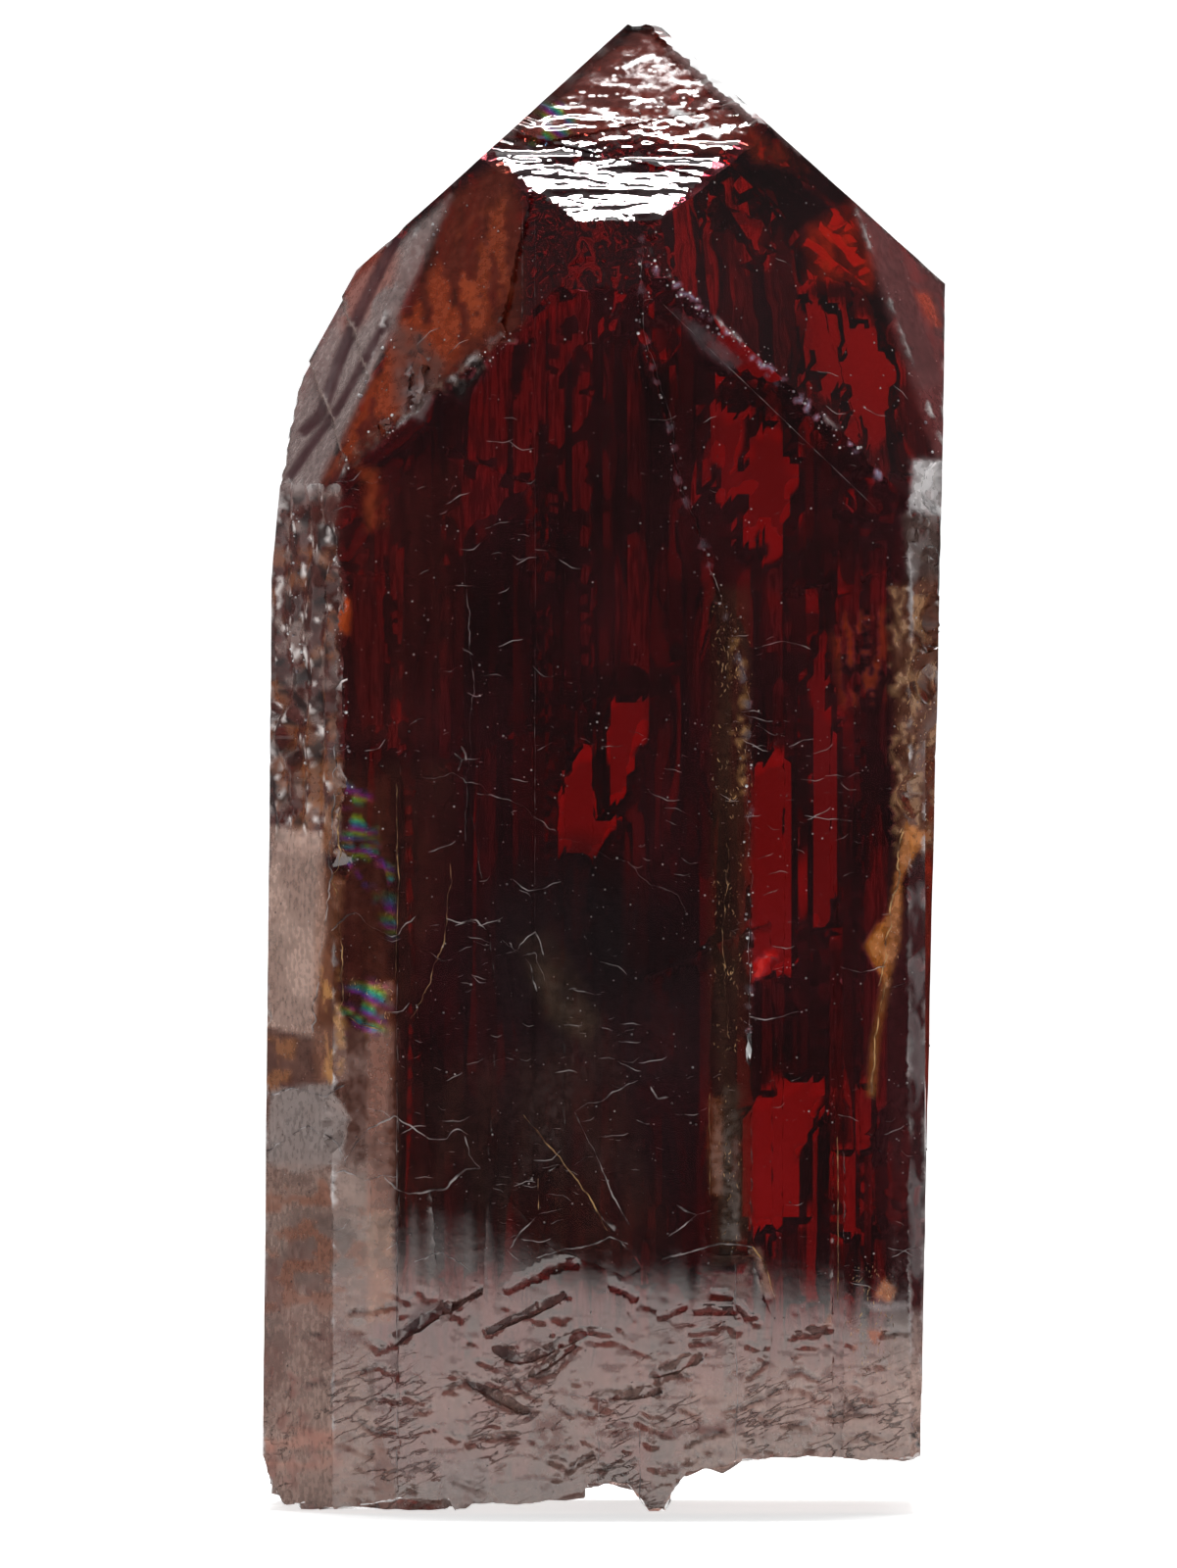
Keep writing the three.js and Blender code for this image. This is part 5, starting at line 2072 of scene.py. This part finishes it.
# behind and beside the point, overhead, to both sides, below, and high in front
DIMS = [
    Dim((0.643, 0.678, 0.355), 12, 26, 1.45),
    Dim((-0.643, 0.678, 0.355), 14, 28, 1.5),
    Dim((0.643, -0.286, 0.711), 22, 38, 1.45),
    Dim((-0.643, -0.286, 0.711), 22, 38, 1.4),
    Dim((0.0, 0.1, 0.995), 12, 26, 1.4),
    Dim((0.8, 0.6, 0.0), 30, 47, 1.65),
    Dim((-0.8, 0.6, 0.0), 30, 47, 1.63),
    Dim((0.0, 0.0, -1.0), 50, 84, 1.75),
    Dim((0.0, -0.72, 0.69), 14, 30, 0.3),
]


@dataclass
class Studio:
    """The floor, the light and the camera.

    Attributes:
        camera_distance: From the front face.
        camera_rise: The camera's angle above the horizon, in degrees.
        sensor: The width of the camera's sensor.
        floor_half: Half the floor's side.
        floor_glow: How bright the floor is of itself, so that it stays pale.
        card_half: Half the side of the card in front.
        card_away: How far the card stands before the front face.
        card_middle: The height of the card's middle.
        card_bright: How bright its foot is.
        card_dark: How bright it is above.
        card_bright_below: Where on the card the bright foot begins to fade, up from its middle.
        card_dark_above: Where the bright foot ends.
        card_slope: How much the edge of the foot falls for each millimetre to the right.
        card_colour: The colour of its light.
        lamp_size: The softbox's width and depth.
        lamp_place: Where the softbox hangs.
        lamp_power: Its power in watts.
        room: How bright the room is on the viewer's side.
        backdrop: How bright it is behind the crystal.
        dim_from: The Y of the direction where the room begins to brighten.
        bright_from: The Y of the direction where the backdrop is reached.
        darkest: The least brightness of any direction.
        seen_white: How bright the surroundings look to the camera itself.
    """

    camera_distance: float = 1500.0
    camera_rise: float = 1.0
    sensor: float = 36.0
    floor_half: float = 4000.0
    floor_glow: float = 0.66
    card_half: float = 60.0
    card_away: float = 100.0
    card_middle: float = 45.0
    card_bright: float = 1.5
    card_dark: float = 0.03
    card_bright_below: float = 2.9
    card_dark_above: float = 4.95
    card_slope: float = 0.16
    card_colour: tuple[float, float, float, float] = (1.0, 0.96, 0.93, 1.0)
    lamp_size: tuple[float, float] = (180.0, 60.0)
    lamp_place: tuple[float, float, float] = (0.0, 125.0, 540.0)
    lamp_power: float = 2.4
    room: float = 0.35
    backdrop: float = 1.75
    dim_from: float = -0.35
    bright_from: float = 0.25
    darkest: float = 0.06
    seen_white: float = 1.2

    def camera(self) -> Object:
        """Places the camera and returns it."""
        width, height = FRAME
        across = (width / 2 - ORIGIN[0]) / SCALE
        up = (ORIGIN[1] - height / 2) / SCALE
        rise = math.radians(self.camera_rise)
        aim = Vector((across, FRONT, up))
        back = Vector((0, -math.cos(rise), math.sin(rise)))
        data = bpy.data.cameras.new("camera")
        data.sensor_fit = "AUTO"
        data.sensor_width = self.sensor
        data.lens = self.sensor * self.camera_distance / (height / SCALE)
        data.clip_start, data.clip_end = 0.05, 20
        camera = add_object("camera", data)
        camera.location = (aim + back * self.camera_distance) * MM
        camera.rotation_euler = (-back).to_track_quat("-Z", "Y").to_euler()
        bpy.context.scene.camera = camera
        return camera

    def floor(self) -> Object:
        """Lays the pale floor and returns it."""
        made, nodes = new_material("pale_floor")
        shader = nodes.add(
            "ShaderNodeBsdfPrincipled",
            {
                "Base Color": (0.9, 0.9, 0.9, 1),
                "Roughness": 0.9,
                "Specular IOR Level": 0.0,
                "Emission Color": (1, 1, 1, 1),
                "Emission Strength": self.floor_glow,
            },
        )
        nodes.add("ShaderNodeOutputMaterial", {"Surface": shader.outputs[0]})
        floor = self.plane("floor", self.floor_half, Matrix.Identity(4), made)
        floor.visible_glossy = False
        return floor

    def plane(self, name: str, half: float, place: Matrix, made: bpy.types.Material) -> Object:
        """Makes a square of the stage.

        Args:
            name: The object's name.
            half: Half its side.
            place: How it is turned and moved, in millimetres.
            made: Its material.

        Returns:
            The square.
        """
        corners = [(-half, -half, 0), (half, -half, 0), (half, half, 0), (-half, half, 0)]
        placed = [tuple(c * MM for c in place @ Vector(corner)) for corner in corners]
        mesh = bpy.data.meshes.new(name)
        mesh.from_pydata(placed, [], [(0, 1, 2, 3)])
        mesh.materials.append(made)
        thing = add_object(name, mesh)
        return thing

    def card(self) -> Object:
        """Stands a card in front, dark above and bright along its foot, that only reflections see."""
        made, nodes = new_material("graded_card")
        place = nodes.place()
        parts = nodes.parts(place)
        slope = nodes.math("MULTIPLY", parts["X"], self.card_slope)
        level = nodes.math("ADD", parts["Z"], slope)
        low, high = self.card_bright_below * MM, self.card_dark_above * MM
        light = nodes.step(level, low, high, self.card_bright, self.card_dark)
        shader = nodes.add("ShaderNodeEmission", {"Color": self.card_colour, "Strength": light})
        nodes.add("ShaderNodeOutputMaterial", {"Surface": shader.outputs[0]})
        middle = Matrix.Translation((0, FRONT - self.card_away, self.card_middle))
        card = self.plane("card", self.card_half, middle @ Matrix.Rotation(math.pi / 2, 4, "X"), made)
        for kind in ("camera", "diffuse", "shadow", "transmission", "volume_scatter"):
            setattr(card, "visible_" + kind, False)
        return card

    def lamp(self) -> Object:
        """Hangs the softbox overhead and returns it."""
        data = bpy.data.lights.new("softbox", "AREA")
        data.shape = "RECTANGLE"
        data.size, data.size_y = (side * MM for side in self.lamp_size)
        data.energy = self.lamp_power
        lamp = add_object("softbox", data)
        lamp.location = [c * MM for c in self.lamp_place]
        return lamp

    def world(self) -> bpy.types.World:
        """Lights the scene from all round, with the dim places of the photographer's room."""
        made = bpy.data.worlds.new("studio")
        made.use_nodes = True
        bpy.context.scene.world = made
        nodes = Nodes(made.node_tree)
        toward = nodes.add("ShaderNodeTexCoord").outputs["Generated"]
        away = nodes.parts(toward)["Y"]
        strength = nodes.step(away, self.dim_from, self.bright_from, self.room, self.backdrop)
        for dim in DIMS:
            dot = nodes.add("ShaderNodeVectorMath", {0: toward, 1: dim.way}, operation="DOT_PRODUCT")
            low, high = math.cos(math.radians(dim.outer)), math.cos(math.radians(dim.inner))
            drop = nodes.step(dot.outputs["Value"], low, high, 0, dim.drop)
            strength = nodes.math("SUBTRACT", strength, drop)
        strength = nodes.math("MAXIMUM", strength, self.darkest)
        direct = nodes.add("ShaderNodeLightPath").outputs["Is Camera Ray"]
        strength = nodes.out("ShaderNodeMix", {0: direct, 2: strength, 3: self.seen_white})
        light = nodes.add("ShaderNodeBackground", {"Color": (1, 1, 1, 1), "Strength": strength})
        nodes.add("ShaderNodeOutputWorld", {"Surface": light.outputs[0]})
        return made


def main() -> None:
    """Builds the crystal and its studio."""
    logging.basicConfig(level=logging.INFO, format="%(message)s")
    bpy.context.scene.view_settings.view_transform = "Standard"
    relief = Relief()
    crystal = Crystal(SkinMesh(relief.columns()), relief, Paint()).build(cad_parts[NODE])
    crystal.data.materials.append(ZirconGlass().material())
    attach(crystal, BODY)
    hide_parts(NODE)
    pale = FrostedFill("pale_fill", 0x5C4C4C, 0xD4CACA, 0.5).material()
    gold = FrostedFill("golden_fill", 0x5A3014, 0xE8B878).material()
    bright = FrostedFill("bead_fill", 0x8C7C84, 0xFFFFFF).material()
    flecks = Slivers(
        "golden_flecks",
        "gold",
        density=60.0,
        shortest=0.014,
        longest=0.07,
        spin=0.7,
        seed=15,
        bends=(-0.2, 0.1, 0.3),
        thin=0.16,
        upright=True,
    )
    pieces = [
        Slivers("crack_slivers", "cracks", 3.6, 0.05, 0.42, spin=0.5, seed=5).build(crystal, pale),
        Scatter("bright_specks", "specks", 8.0, 0.007, 0.034, spin=3.0, seed=9).build(crystal, pale),
        Scatter("edge_beads", "beads", 60.0, 0.01, 0.055, spin=3.0, seed=13).build(crystal, bright),
        flecks.build(crystal, gold),
        Veins("pale_veins", PALE_VEINS).build(crystal, pale),
        Veins("golden_veins", GOLD_VEINS, seed=19).build(crystal, gold),
    ]
    for piece in pieces:
        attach(piece, BODY)
    studio = Studio()
    studio.camera()
    studio.floor()
    studio.card()
    studio.lamp()
    studio.world()


if __name__ == "__main__":
    main()
